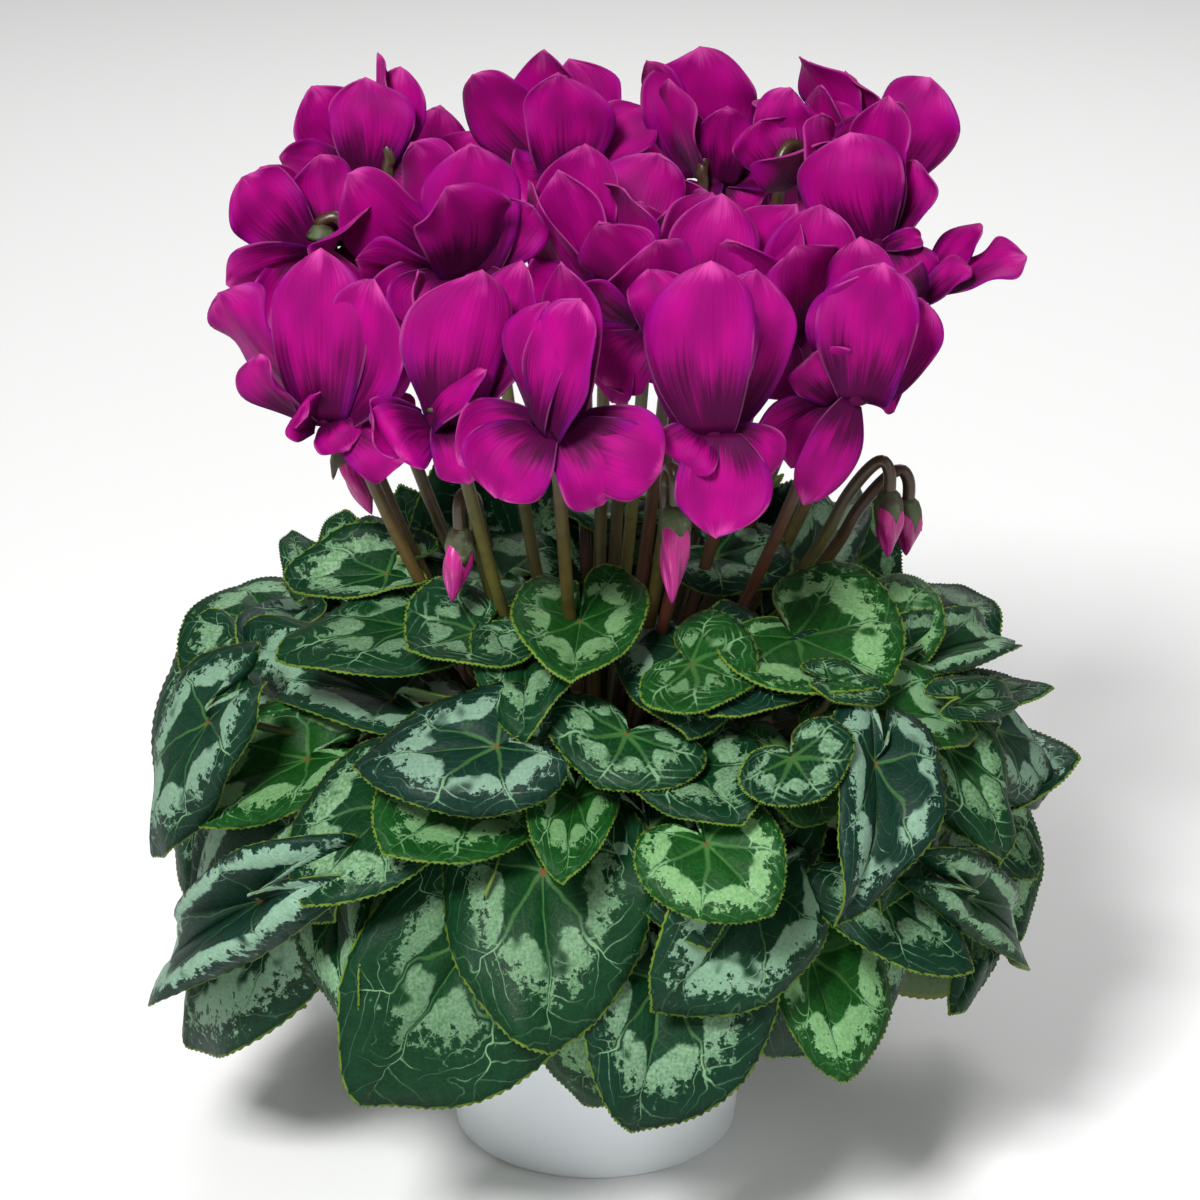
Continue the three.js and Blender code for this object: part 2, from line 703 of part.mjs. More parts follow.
// The direction across a petal: square to its length, and turned away from the view as far as
// the width that shows is short of its true width.
function seenAcross(claw, tip, shown) {
  const along = tip.clone().sub(claw).normalize();
  const sight = tip.clone().sub(eye).normalize();
  const across = along.clone().cross(sight).normalize();
  const facing = across.clone().cross(along);
  const turn = Math.acos(Math.min(shown, 1));
  return across.multiplyScalar(Math.cos(turn)).addScaledVector(facing, Math.sin(turn));
}

// Five or more petals on the tube's mouth. Those that the photograph shows come first, and the
// rest fill the widest gaps between them.
function petalsOf({ mouth, seen }, seed) {
  const outward = Math.atan2(mouth.y, mouth.x);
  const bearing = (tip) => {
    const turn = Math.atan2(tip.y - mouth.y, tip.x - mouth.x) - outward;
    return Math.atan2(Math.sin(turn), Math.cos(turn));
  };
  const petals = seen.map(([x, y, beyond, seenWidth]) => {
    const tip = atDepth(x, y, mouth.y + beyond);
    const shownWidth = seenWidth * millimetresPerPixel(tip);
    const width = Math.max(shownWidth, Math.min(0.5 * tip.distanceTo(mouth), PETAL_WIDTH));
    return { tip, width, shown: shownWidth / width, bearing: bearing(tip) };
  });
  const highest = petals.length
    ? Math.max(HIDDEN_RISE, ...petals.map((one) => one.tip.z - mouth.z))
    : PETAL_LENGTH + HIDDEN_DROP;
  while (petals.length < CLAW_ANGLES.length) {
    const taken = petals.map((one) => one.bearing);
    const free = CLAW_ANGLES.reduce((best, angle) => {
      const room = (a) => Math.min(9, ...taken.map((other) => Math.abs(a - other)));
      return room(angle) > room(best) ? angle : best;
    });
    const turn = outward + free;
    const lean = PETAL_LEAN + 4 * vary(seed, petals.length);
    const length = PETAL_LENGTH * (1 + 0.1 * vary(seed, petals.length, 1));
    const rise = Math.min(length, highest - HIDDEN_DROP);
    const tip = mouth.clone().add(new Vector3(lean * Math.cos(turn), lean * Math.sin(turn), rise));
    petals.push({ tip, width: PETAL_WIDTH, bearing: free });
  }
  petals.sort((a, b) => a.bearing - b.bearing);
  const spread = CLAW_SPREAD / (petals.length - 1);
  return petals.map((one, k) => {
    const turn = outward - CLAW_SPREAD / 2 + spread * k;
    const radial = new Vector3(Math.cos(turn), Math.sin(turn), 0);
    const claw = mouth.clone().addScaledVector(radial, TUBE_RADIUS - 0.6).setZ(mouth.z + 1.5);
    const along = one.tip.clone().sub(claw).normalize();
    const across = one.shown
      ? seenAcross(claw, one.tip, one.shown)
      : along.clone().cross(radial).applyAxisAngle(along, PINWHEEL).normalize();
    const bulge = radial.clone().multiplyScalar(PETAL_BULGE).setZ(PETAL_LIFT);
    return { claw, tip: one.tip, across, width: one.width, bulge, columns: one.shown ? 2 : 1 };
  });
}

function corollaSolid(mouth, petals) {
  const tube = turned([[0, TUBE_HEIGHT], [TUBE_RADIUS - 1, TUBE_HEIGHT], [TUBE_RADIUS, 0],
    [0, 1.5]], 5);
  return join([tube.translate(mouth.toArray()),
    ...petals.map((one) => petal(one, PETAL_THICKNESS, 1))]);
}

function tubeRoom(mouth) {
  const wide = TUBE_RADIUS + 2 * SEAT_GAP;
  const high = TUBE_HEIGHT + SEAT_GAP;
  return turned([[0, -1], [wide, -1], [wide, high], [0, high]], 5).translate(mouth.toArray());
}

const blooms = [];
Object.entries(BLOOM_MARKS).forEach(([name, mark]) => {
  blooms.push({ name, mouth: atDepth(...mark.mouth), seen: mark.petals });
});
Object.entries(HIDDEN_BLOOMS).forEach(([name, mouth]) => {
  blooms.push({ name, mouth: new Vector3(...mouth), seen: [] });
});
const buds = Object.entries(BUD_MARKS).map(([name, mark]) => ({
  name, calyx: atDepth(...mark.calyx), tip: atDepth(...mark.tip),
}));
const feet = spreadFeet([...blooms.map((bloom) => bloom.mouth), ...buds.map((bud) => bud.calyx)]);

blooms.forEach((bloom, i) => {
  bloom.petals = petalsOf(bloom, i);
  const line = stalkLine(feet[i], bloom.mouth);
  const radii = stalkRadii(line);
  line.push(bloom.mouth.clone().setZ(bloom.mouth.z + TUBE_HEIGHT + SEAT_GAP));
  radii.push(CALYX_RADIUS);
  bloom.line = line;
  bloom.stalk = rod(line, radii, STALK_SIDES);
  bloom.stalkRoom = rod(line, radii, STALK_SIDES, SEAT_GAP);
});

// Each corolla leaves room for the stalks and for the petals of the blooms before it.
blooms.forEach((bloom, i) => {
  const rooms = blooms.map((other) => other.stalkRoom);
  for (const other of blooms.slice(0, i)) {
    const near = other.mouth.distanceTo(bloom.mouth) < 2 * PETAL_LENGTH;
    if (near) rooms.push(tubeRoom(other.mouth), ...other.petals.map((one) => (
      petal(one, PETAL_THICKNESS + 3 * SEAT_GAP, 1.04))));
  }
  const whole = corollaSolid(bloom.mouth, bloom.petals);
  bloom.corolla = largestPiece(rooms.reduce((rest, room) => rest.subtract(room), whole));
});

// Buds

const BUD_RADIUS = 5.2;

buds.forEach((bud, i) => {
  const line = stalkLine(feet[blooms.length + i], bud.calyx);
  const radii = stalkRadii(line);
  const length = bud.tip.clone().sub(bud.calyx);
  for (const [share, radius] of [[0, 2.2], [0.22, 1], [0.5, 0.94], [0.8, 0.5], [1, 0.12]]) {
    line.push(bud.calyx.clone().addScaledVector(length, share));
    radii.push(share === 0 ? radius : BUD_RADIUS * radius);
  }
  bud.line = line;
  bud.body = rod(line, radii, STALK_SIDES);
  bud.room = rod(line, radii, STALK_SIDES, SEAT_GAP);
});

// Leaf sprays

const leaves = layLeaves();
const stalkRooms = [...blooms.map((bloom) => bloom.stalkRoom), ...buds.map((bud) => bud.room)];
const stalkLines = [...blooms, ...buds].map((one) => one.line);

function sprayOf(leaf) {
  const azimuth = Math.atan2(leaf.notch.y, leaf.notch.x);
  const share = azimuth / (2 * Math.PI) + 1;
  return Math.floor((share % 1) * SPRAY_COUNT);
}

function stubPlace(spray) {
  const azimuth = ((spray + 0.5) / SPRAY_COUNT) * 2 * Math.PI;
  return new Vector3(STUB_RING * Math.cos(azimuth), STUB_RING * Math.sin(azimuth), CROWN_HEIGHT);
}

// A petiole's line from its leaf down over the pot's rim to its spray's stub, with its middle
// moved sideways by a swerve and its lower part raised by a share of the way up.
const RIM_CLEARANCE = 20;
const UNDER_BLADE = 14;

function petioleLine(leaf, stub, swerve, lift) {
  const end = leafPlace(leaf, -0.03, 0.04, -LEAF_THICKNESS / 2);
  const rise = end.z - stub.z;
  const sideways = new Vector3(-(end.y - stub.y), end.x - stub.x, 0).normalize();
  const near = stub.clone().lerp(end, 0.36).addScaledVector(sideways, swerve);
  near.z = stub.z + Math.max(RIM_CLEARANCE, lift * rise);
  const under = end.clone().addScaledVector(leaf.out, -UNDER_BLADE);
  under.addScaledVector(sideways, swerve / 2);
  if (rise < 0) under.z = Math.max(under.z, Math.min(stub.z + RIM_CLEARANCE, end.z + 30));
  return [end, under, near, stub];
}

function pointsAlong(line) {
  const points = [];
  for (let i = 0; i + 1 < line.length; i += 1) {
    for (let share = 0; share < 1; share += 0.125) {
      points.push(line[i].clone().lerp(line[i + 1], share));
    }
  }
  return points;
}

function distanceBetween(first, second) {
  let least = Infinity;
  for (const point of pointsAlong(first)) {
    for (let j = 0; j + 1 < second.length; j += 1) {
      const near = new THREE.Line3(second[j], second[j + 1]);
      const close = near.closestPointToPoint(point, true, new Vector3());
      least = Math.min(least, close.distanceTo(point));
    }
  }
  return least;
}

// How many other leaves' blades a line goes through.
function bladesCrossed(line, ownLeaf) {
  const points = pointsAlong(line);
  return leaves.filter((leaf) => leaf !== ownLeaf).reduce((total, leaf) => {
    const heights = points.map((point) => {
      const share = shareUnder(leaf, point);
      return share === null ? 0 : Math.sign(domeLevel(point) - levelAt(leaf, share));
    });
    return total + heights.filter((side, i) => side * (heights[i - 1] ?? 0) < 0).length;
  }, 0);
}

// The ways that a petiole is tried: millimetres sideways, and shares of its rise
const SWERVES = Array.from({ length: 19 }, (_, i) => 3 * (i - 9));
const LIFTS = [0.52, 0.3, 0.75, 0.15];
const CLASH_COST = 10;
const SWERVE_COST = 1 / 40;

// The petiole line that keeps clear of every stalk and of the other sprays' petioles, and goes
// through the fewest blades and petioles of its own spray.
function clearPetiole(leaf, stub, ownLines, otherLines) {
  const room = STALK_RADIUS + PETIOLE_RADIUS + 0.5;
  let best = { cost: Infinity };
  for (const lift of LIFTS) {
    if (best.cost < CLASH_COST) break;
    for (const swerve of SWERVES) {
      const line = petioleLine(leaf, stub, swerve, lift);
      const clashes = [...stalkLines, ...otherLines].filter((other) => (
        distanceBetween(line, other) < room));
      const outer = line.slice(0, 3);
      const crowded = ownLines.filter((other) => (
        distanceBetween(outer, other.slice(0, 3)) < 2.2 * PETIOLE_RADIUS));
      const cost = CLASH_COST * clashes.length + bladesCrossed(line, leaf)
        + crowded.length + Math.abs(swerve) * SWERVE_COST;
      if (cost < best.cost) best = { line, cost };
    }
  }
  return best.line;
}

const sprays = Array.from({ length: SPRAY_COUNT }, (_, spray) => ({
  place: stubPlace(spray),
  leaves: leaves.filter((leaf) => sprayOf(leaf) === spray),
}));

const placedLines = [];
sprays.forEach((spray) => {
  const stub = spray.place;
  const foot = stub.clone().setZ(stub.z - ROOT_DEPTH);
  const top = stub.clone().setZ(stub.z + STUB_RISE);
  spray.stubRoom = rod([foot, top], [STUB_RADIUS, STUB_RADIUS], 6, SEAT_GAP);
  spray.leaves.sort((a, b) => a.notch.z - b.notch.z);
  spray.petioles = [];
  spray.leaves.forEach((leaf, i) => {
    const height = 1 + ((STUB_RISE - 2) * i) / spray.leaves.length;
    const start = stub.clone().setZ(stub.z + height);
    spray.petioles.push(clearPetiole(leaf, start, spray.petioles, placedLines));
  });
  placedLines.push(...spray.petioles);
  spray.petioleRooms = spray.petioles.map((line) => (
    rod(line, line.map((_, k) => (k === 0 ? 2 : 1) * PETIOLE_RADIUS), 3, SEAT_GAP)));
  spray.leafSolids = [];
  spray.leafRooms = [];
  spray.leaves.forEach((leaf, i) => {
    const line = spray.petioles[i];
    const thin = blade(leaf);
    const thick = blade(leaf, LEAF_THICKNESS + 4 * SEAT_GAP, 2 * SEAT_GAP);
    const drawn = nearestTriangle(thin, line[0]);
    spray.leafSolids.push(slabSolid(drawOut(thin, drawn, line, PETIOLE_RADIUS)));
    const wide = PETIOLE_RADIUS + 2 * SEAT_GAP;
    spray.leafRooms.push(slabSolid(drawOut(thick, drawn, line, wide)));
  });
  spray.stub = rod([foot, top], [STUB_RADIUS, STUB_RADIUS], 6);
});

// Each leaf leaves room for the stalks, for the petioles of the other sprays and for the blades
// of the sprays before it.
sprays.forEach((spray, i) => {
  const rooms = [...stalkRooms,
    ...sprays.filter((other) => other !== spray).flatMap((other) => other.petioleRooms),
    ...sprays.slice(0, i).flatMap((other) => other.leafRooms)];
  const grown = spray.leafSolids.map((whole) => {
    const touching = rooms.filter((room) => room.intersect(whole).volume() > 0);
    return touching.reduce((rest, room) => rest.subtract(room), whole);
  });
  spray.body = largestPiece(join([spray.stub, ...grown]));
});

// Cuts away the small places where one spray still meets another, with a gap round them.
function clearOf(body, other) {
  const common = body.intersect(other);
  if (common.volume() === 0) return body;
  return common.decompose().reduce((rest, piece) => {
    const { min, max } = piece.boundingBox();
    const box = new THREE.Box3(new Vector3(...min), new Vector3(...max));
    const size = box.getSize(new Vector3()).addScalar(2 * SEAT_GAP);
    const block = solidOf(new THREE.BoxGeometry(...size.toArray()));
    return rest.subtract(block.translate(box.getCenter(new Vector3()).toArray()));
  }, body);
}

sprays.forEach((spray, i) => {
  const before = sprays.slice(0, i).map((other) => other.body);
  spray.body = largestPiece(before.reduce(clearOf, spray.body));
});

// Pot, soil and tuber

function makePot() {
  const lip = POT_HEIGHT - POT_RIM_HEIGHT;
  const wall = turned([
    [0, 0], [POT_BASE_RADIUS, 0], [POT_WALL_TOP_RADIUS, lip - 3], [POT_RIM_RADIUS - 1, lip],
    [POT_RIM_RADIUS, POT_HEIGHT - 1.5], [POT_RIM_RADIUS - 1, POT_HEIGHT],
    [POT_RIM_RADIUS - POT_WALL, POT_HEIGHT - 1], [POT_RIM_RADIUS - POT_WALL - 1.5, lip + 1.5],
    [POT_WALL_TOP_RADIUS - POT_WALL, lip - 2], [POT_BASE_RADIUS - POT_WALL, POT_WALL],
    [0, POT_WALL],
  ], POT_SIDES);
  const drains = Array.from({ length: DRAIN_COUNT }, (_, i) => {
    const turn = (2 * Math.PI * i) / DRAIN_COUNT;
    const drain = turned([[0, -1], [DRAIN_RADIUS, -1], [DRAIN_RADIUS, 3], [0, 3]], 10);
    return drain.translate([DRAIN_RING * Math.cos(turn), DRAIN_RING * Math.sin(turn), 0]);
  });
  return drains.reduce((whole, drain) => whole.subtract(drain), wall);
}

function makeSoil() {
  const slope = (POT_WALL_TOP_RADIUS - POT_BASE_RADIUS) / (POT_HEIGHT - POT_RIM_HEIGHT - 3);
  const inner = (height) => POT_BASE_RADIUS - POT_WALL - SEAT_GAP - 0.4 + slope * (height - 1);
  return turned([
    [0, POT_WALL + SEAT_GAP], [inner(POT_WALL), POT_WALL + SEAT_GAP],
    [inner(SOIL_TOP), SOIL_TOP - 1], [inner(SOIL_TOP) - 4, SOIL_TOP],
    [TUBER_RADIUS + SEAT_GAP, SOIL_TOP + 1.5], [TUBER_RADIUS + SEAT_GAP, SOIL_TOP - 6],
    [TUBER_RADIUS - 5, TUBER_BOTTOM - SEAT_GAP], [0, TUBER_BOTTOM - SEAT_GAP],
  ], POT_SIDES);
}

function makeTuber() {
  const body = turned([
    [0, TUBER_BOTTOM], [TUBER_RADIUS - 6, TUBER_BOTTOM], [TUBER_RADIUS - 0.4, SOIL_TOP - 5],
    [TUBER_RADIUS - 0.4, SOIL_TOP + 3], [TUBER_RADIUS - 3, CROWN_HEIGHT - 2],
    [TUBER_RADIUS - 6, CROWN_HEIGHT], [0, CROWN_HEIGHT],
  ], TUBER_SIDES);
  const rooms = [...stalkRooms, ...sprays.map((spray) => spray.stubRoom)];
  return rooms.reduce((whole, room) => whole.subtract(room), body);
}

// The plant in its pot

const group = new THREE.Group();

function addPart(name, solid, { color, roughness }) {
  const material = new THREE.MeshStandardMaterial({ color, roughness, metalness: 0 });
  const mesh = new THREE.Mesh(geometryOf(solid), material);
  mesh.name = name;
  group.add(mesh);
}

addPart('pot', makePot(), COLOURS.pot);
addPart('soil', makeSoil(), COLOURS.soil);
addPart('tuber', makeTuber(), COLOURS.tuber);
for (const bloom of blooms) {
  addPart(`bloom_${bloom.name}`, bloom.corolla, COLOURS.petal);
  addPart(`stalk_${bloom.name}`, bloom.stalk, COLOURS.stalk);
}
for (const bud of buds) addPart(bud.name, bud.body, COLOURS.petal);
sprays.forEach((spray, i) => addPart(`leaf_spray_${i + 1}`, spray.body, COLOURS.leaf));

export default group;
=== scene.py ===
# %% [markdown]
# # A potted cyclamen
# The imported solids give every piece's size and place, in metres. They are loaded first and never
# move. This script then stands a finer piece in the place of each one: toothed and marbled leaf
# blades, thin rolled petals, smooth stalks, twisted buds, the pot, its soil and the tuber.

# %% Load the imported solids
import math
from functools import partial

import bpy
import numpy as np
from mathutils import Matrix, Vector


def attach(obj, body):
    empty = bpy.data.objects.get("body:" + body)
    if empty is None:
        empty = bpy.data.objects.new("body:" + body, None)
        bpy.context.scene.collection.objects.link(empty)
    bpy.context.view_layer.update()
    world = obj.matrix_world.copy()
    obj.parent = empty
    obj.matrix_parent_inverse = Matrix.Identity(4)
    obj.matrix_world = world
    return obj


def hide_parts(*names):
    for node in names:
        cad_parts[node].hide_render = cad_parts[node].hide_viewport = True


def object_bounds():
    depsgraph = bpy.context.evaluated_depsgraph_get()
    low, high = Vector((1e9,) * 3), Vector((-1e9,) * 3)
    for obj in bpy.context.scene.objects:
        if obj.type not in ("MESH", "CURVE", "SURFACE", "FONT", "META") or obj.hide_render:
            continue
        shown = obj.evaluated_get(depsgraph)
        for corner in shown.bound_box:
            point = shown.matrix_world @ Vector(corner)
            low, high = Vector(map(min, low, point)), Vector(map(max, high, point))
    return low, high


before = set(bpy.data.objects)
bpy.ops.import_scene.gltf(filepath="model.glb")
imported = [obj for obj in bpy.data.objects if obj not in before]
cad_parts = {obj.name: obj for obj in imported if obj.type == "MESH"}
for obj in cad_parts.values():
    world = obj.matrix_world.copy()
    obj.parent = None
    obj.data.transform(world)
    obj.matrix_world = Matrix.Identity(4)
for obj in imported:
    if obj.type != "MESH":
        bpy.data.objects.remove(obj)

CAD_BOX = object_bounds()
MM = 0.001
print("packed nodes:", len(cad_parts))


# %% [markdown]
# ## The view
# The photograph looks at the plant from 1.3 m away and 21 degrees above it, with a long lens. All
# that was placed one by one was placed through this same view, so its numbers come first. Places
# are worked out in millimetres and turned into metres when a mesh is made.

# %% The view's numbers
PHOTO_SIZE = 1200
VIEW_ELEVATION = math.radians(21)
VIEW_DISTANCE = 1300
VIEW_FOCAL = 3950
VIEW_MIDDLE = PHOTO_SIZE / 2
VIEW_TARGET = np.array([1.6, 0, 190])
SENSOR_WIDTH = 36

view_ahead = np.array([0, math.cos(VIEW_ELEVATION), -math.sin(VIEW_ELEVATION)])
view_up = np.array([0, math.sin(VIEW_ELEVATION), math.cos(VIEW_ELEVATION)])
view_right = np.array([1.0, 0, 0])
eye = VIEW_TARGET - view_ahead * VIEW_DISTANCE


def sight_line(x, y):
    """The direction in which the view sees a pixel of the photograph."""
    return (view_ahead + view_right * (x - VIEW_MIDDLE) / VIEW_FOCAL
            + view_up * (VIEW_MIDDLE - y) / VIEW_FOCAL)


def at_depth(x, y, depth):
    """The point on a pixel's line of sight at a depth behind the plant's axis."""
    line = sight_line(x, y)
    return eye + line * ((depth - eye[1]) / line[1])


def millimetres_per_pixel(point):
    """How many millimetres one pixel of the photograph covers at a point."""
    return float(np.dot(point - eye, view_ahead)) / VIEW_FOCAL


print("the view stands at", np.round(eye), "mm")


# %% The camera
camera_data = bpy.data.cameras.new("camera")
camera_data.lens = VIEW_FOCAL * SENSOR_WIDTH / PHOTO_SIZE
camera_data.sensor_width = SENSOR_WIDTH
camera = bpy.data.objects.new("camera", camera_data)
camera.location = eye * MM
camera.rotation_euler = (math.pi / 2 - VIEW_ELEVATION, 0, 0)
bpy.context.scene.collection.objects.link(camera)
bpy.context.scene.camera = camera
print("lens of the camera:", round(camera_data.lens, 1), "mm")


# %% [markdown]
# ## Floor and light
# A studio would use a white sweep and large soft boxes. One pale plane stands for the sweep. Three
# area lights and a bright, even sky give the soft light from the front and above, with the brighter
# side on the left.

# %% Small helpers for objects
MERGE_DISTANCE = 0.00001


def deselect():
    bpy.ops.object.select_all(action="DESELECT")


def choose(piece):
    """Selects one piece alone and makes it the active one."""
    deselect()
    piece.select_set(True)
    bpy.context.view_layer.objects.active = piece


def places_of(piece):
    places = np.zeros(len(piece.data.vertices) * 3)
    piece.data.vertices.foreach_get("co", places)
    return places.reshape(-1, 3)


def set_places(piece, places):
    """Moves the vertices of a piece to places in metres."""
    piece.data.vertices.foreach_set("co", np.ascontiguousarray(places, dtype=np.float64).ravel())
    piece.data.update()


def copy_of(pattern, name):
    """A copy of a pattern piece with its own mesh."""
    piece = bpy.data.objects.new(name, pattern.data.copy())
    bpy.context.scene.collection.objects.link(piece)
    return piece


def joined(pieces, name):
    """Several pieces made into one mesh under one name."""
    deselect()
    for piece in pieces:
        piece.select_set(True)
    bpy.context.view_layer.objects.active = pieces[0]
    bpy.ops.object.join()
    pieces[0].name = name
    pieces[0].data.name = name
    return pieces[0]


def add_numbers(piece, name, numbers):
    """Gives every vertex of a piece a number that a material can read."""
    layer = piece.data.attributes.new(name, "FLOAT", "POINT")
    count = len(piece.data.vertices)
    layer.data.foreach_set("value", np.broadcast_to(np.asarray(numbers, np.float32), count).copy())


def weld(piece, flip):
    """Merges the points that meet at a notch or a pole, and turns the faces round if asked."""
    choose(piece)
    bpy.ops.object.mode_set(mode="EDIT")
    bpy.ops.mesh.select_all(action="SELECT")
    bpy.ops.mesh.remove_doubles(threshold=MERGE_DISTANCE)
    if flip:
        bpy.ops.mesh.flip_normals()
    bpy.ops.object.mode_set(mode="OBJECT")


def thicken(sheet, thickness, offset, material_step=0):
    """Gives a sheet its thickness in millimetres and shades it smooth."""
    solidify = sheet.modifiers.new("thickness", "SOLIDIFY")
    solidify.thickness = thickness * MM
    solidify.offset = offset
    solidify.material_offset = material_step
    choose(sheet)
    bpy.ops.object.modifier_apply(modifier=solidify.name)
    bpy.ops.object.shade_smooth()


def grid_pattern(name, columns, rows, uv_name):
    """A flat grid from -1 to 1 that the pieces of one kind are copied from."""
    deselect()
    bpy.ops.mesh.primitive_grid_add(x_subdivisions=columns, y_subdivisions=rows, size=2)
    pattern = bpy.context.object
    pattern.name = name
    pattern.data.uv_layers[0].name = uv_name
    return pattern


def stand_in(piece, node):
    """Puts a finished piece in the place of a node of the solids."""
    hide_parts(node)
    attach(piece, "root")


# %% Floor, lights and sky
FLOOR_SIZE = 8
SKY_STRENGTH = 0.27
# Name, place and width in metres, and power in watts
LIGHTS = [
    ("key", (-0.6, -1.5, 1.7), 0.5, 58),
    ("fill", (1.4, -1.2, 0.7), 1.0, 5),
    ("back", (0.2, 1.5, 1.5), 0.9, 14),
]

deselect()
bpy.ops.mesh.primitive_plane_add(size=FLOOR_SIZE)
floor = bpy.context.object
floor.name = "floor"


def add_light(name, place, width, power):
    """A square soft light that is aimed at the middle of the plant."""
    light_data = bpy.data.lights.new(name, "AREA")
    light_data.size = width
    light_data.energy = power
    light = bpy.data.objects.new(name, light_data)
    light.location = place
    aim = VIEW_TARGET * MM - np.array(place)
    pitch = math.atan2(math.hypot(aim[0], aim[1]), -aim[2])
    light.rotation_euler = (pitch, 0, math.atan2(aim[1], aim[0]) - math.pi / 2)
    bpy.context.scene.collection.objects.link(light)


for light in LIGHTS:
    add_light(*light)
world = bpy.data.worlds.new("sky")
bpy.context.scene.world = world
world.use_nodes = True
sky = world.node_tree.nodes["Background"]
sky.inputs["Color"].default_value = (1, 1, 1, 1)
sky.inputs["Strength"].default_value = SKY_STRENGTH
bpy.context.scene.view_settings.view_transform = "Standard"
print("lights:", len(LIGHTS))


# %% [markdown]
# ## Materials as expressions
# A pattern such as a vein or a marbled patch is arithmetic on where a point lies on its blade. Math
# nodes could be linked by hand. A small class wraps a socket instead, so that the arithmetic is
# written as Python expressions, and each expression adds its nodes.

# %% A number that varies over a surface
class Value:
    """A number that varies over a surface. Operators on it add Math nodes."""

    def __init__(self, finish, socket):
        self.finish = finish
        self.socket = socket

    def math(self, operation, *others):
        return self.finish.math(operation, self, *others)

    def __add__(self, other):
        return self.math("ADD", other)

    def __radd__(self, other):
        return self.finish.math("ADD", other, self)

    def __sub__(self, other):
        return self.math("SUBTRACT", other)

    def __rsub__(self, other):
        return self.finish.math("SUBTRACT", other, self)

    def __mul__(self, other):
        return self.math("MULTIPLY", other)

    def __rmul__(self, other):
        return self.finish.math("MULTIPLY", other, self)

    def __truediv__(self, other):
        return self.math("DIVIDE", other)

    def __pow__(self, other):
        return self.math("POWER", other)

    def __abs__(self):
        return self.math("ABSOLUTE")

    def fraction(self):
        return self.math("FRACT")

    def at_least(self, other):
        return self.math("MAXIMUM", other)

    def rising(self, low, high):
        """0 below low, 1 above high and smooth between them."""
        node = self.finish.node("ShaderNodeMapRange", {"interpolation_type": "SMOOTHSTEP"}, {
            "Value": self, "From Min": low, "From Max": high})
        return Value(self.finish, node.outputs["Result"])

    def falling(self, low, high):
        return 1 - self.rising(low, high)


# %% A material made of nodes
class Finish:
    """A node material: nodes are added by type, with their settings and their inputs."""

    def __init__(self, name):
        self.material = bpy.data.materials.new(name)
        self.material.use_nodes = True
        self.tree = self.material.node_tree
        self.shader = self.tree.nodes["Principled BSDF"]

    def feed(self, socket, value):
        if isinstance(value, Value):
            value = value.socket
        if isinstance(value, bpy.types.NodeSocket):
            self.tree.links.new(value, socket)
        else:
            socket.default_value = value

    def node(self, kind, settings=None, inputs=None):
        node = self.tree.nodes.new(kind)
        for name, setting in (settings or {}).items():
            setattr(node, name, setting)
        for name, value in (inputs or {}).items():
            self.feed(node.inputs[name], value)
        return node

    def math(self, operation, *values):
        node = self.node("ShaderNodeMath", {"operation": operation}, dict(enumerate(values)))
        return Value(self, node.outputs[0])

    def mixed(self, factor, first, second):
        """The first colour where the factor is 0 and the second where it is 1."""
        # A Mix node has sockets A and B for each kind of data, and those for colours are 6 and 7
        node = self.node("ShaderNodeMix", {"data_type": "RGBA"},
                         {0: factor, 6: first, 7: second})
        return node.outputs[2]

    def uv(self, name):
        """The two numbers of a UV map, and its vector."""
        vector = self.node("ShaderNodeUVMap", {"uv_map": name}).outputs["UV"]
        parts = self.node("ShaderNodeSeparateXYZ", inputs={"Vector": vector}).outputs
        return Value(self, parts["X"]), Value(self, parts["Y"]), vector

    def number(self, name):
        """A number that add_numbers gave the piece."""
        node = self.node("ShaderNodeAttribute", {"attribute_name": name})
        return Value(self, node.outputs["Fac"])

    def place(self):
        return self.node("ShaderNodeTexCoord").outputs["Object"]

    def vector(self, x, y):
        return self.node("ShaderNodeCombineXYZ", inputs={"X": x, "Y": y}).outputs["Vector"]

    def noise(self, vector, scale, detail=2.0, roughness=0.5):
        node = self.node("ShaderNodeTexNoise", inputs={
            "Vector": vector, "Scale": scale, "Detail": detail, "Roughness": roughness})
        return Value(self, node.outputs["Fac"])

    def cells(self, vector, scale, feature="F1"):
        node = self.node("ShaderNodeTexVoronoi", {"feature": feature}, {
            "Vector": vector, "Scale": scale})
        return Value(self, node.outputs["Distance"])

    def bump(self, height, distance):
        """The normal of a relief whose full height is a distance in metres."""
        node = self.node("ShaderNodeBump", inputs={
            "Height": height, "Distance": distance, "Strength": 1.0})
        return node.outputs["Normal"]

    def set(self, **inputs):
        """Sets or links sockets of the shader: base_color is the socket Base Color."""
        names = {"specular_ior_level": "Specular IOR Level"}
        for name, value in inputs.items():
            title = names.get(name, name.replace("_", " ").title())
            self.feed(self.shader.inputs[title], value)
        return self.material


def colour(red, green, blue):
    """A colour given as on a screen, from 0 to 255, as the linear light that a shader takes."""
    linear = [(c / 255 / 12.92) if c <= 10 else ((c / 255 + 0.055) / 1.055) ** 2.4
              for c in (red, green, blue)]
    return (*linear, 1.0)


print("middle grey as linear light:", round(colour(128, 128, 128)[0], 3))


# %% The upper side of a blade
OUTLINE_END = 0.92
VEIN_STEP = 0.25
SIDE_VEIN_STEP = 0.13
SIDE_VEIN_SLANT = 0.17


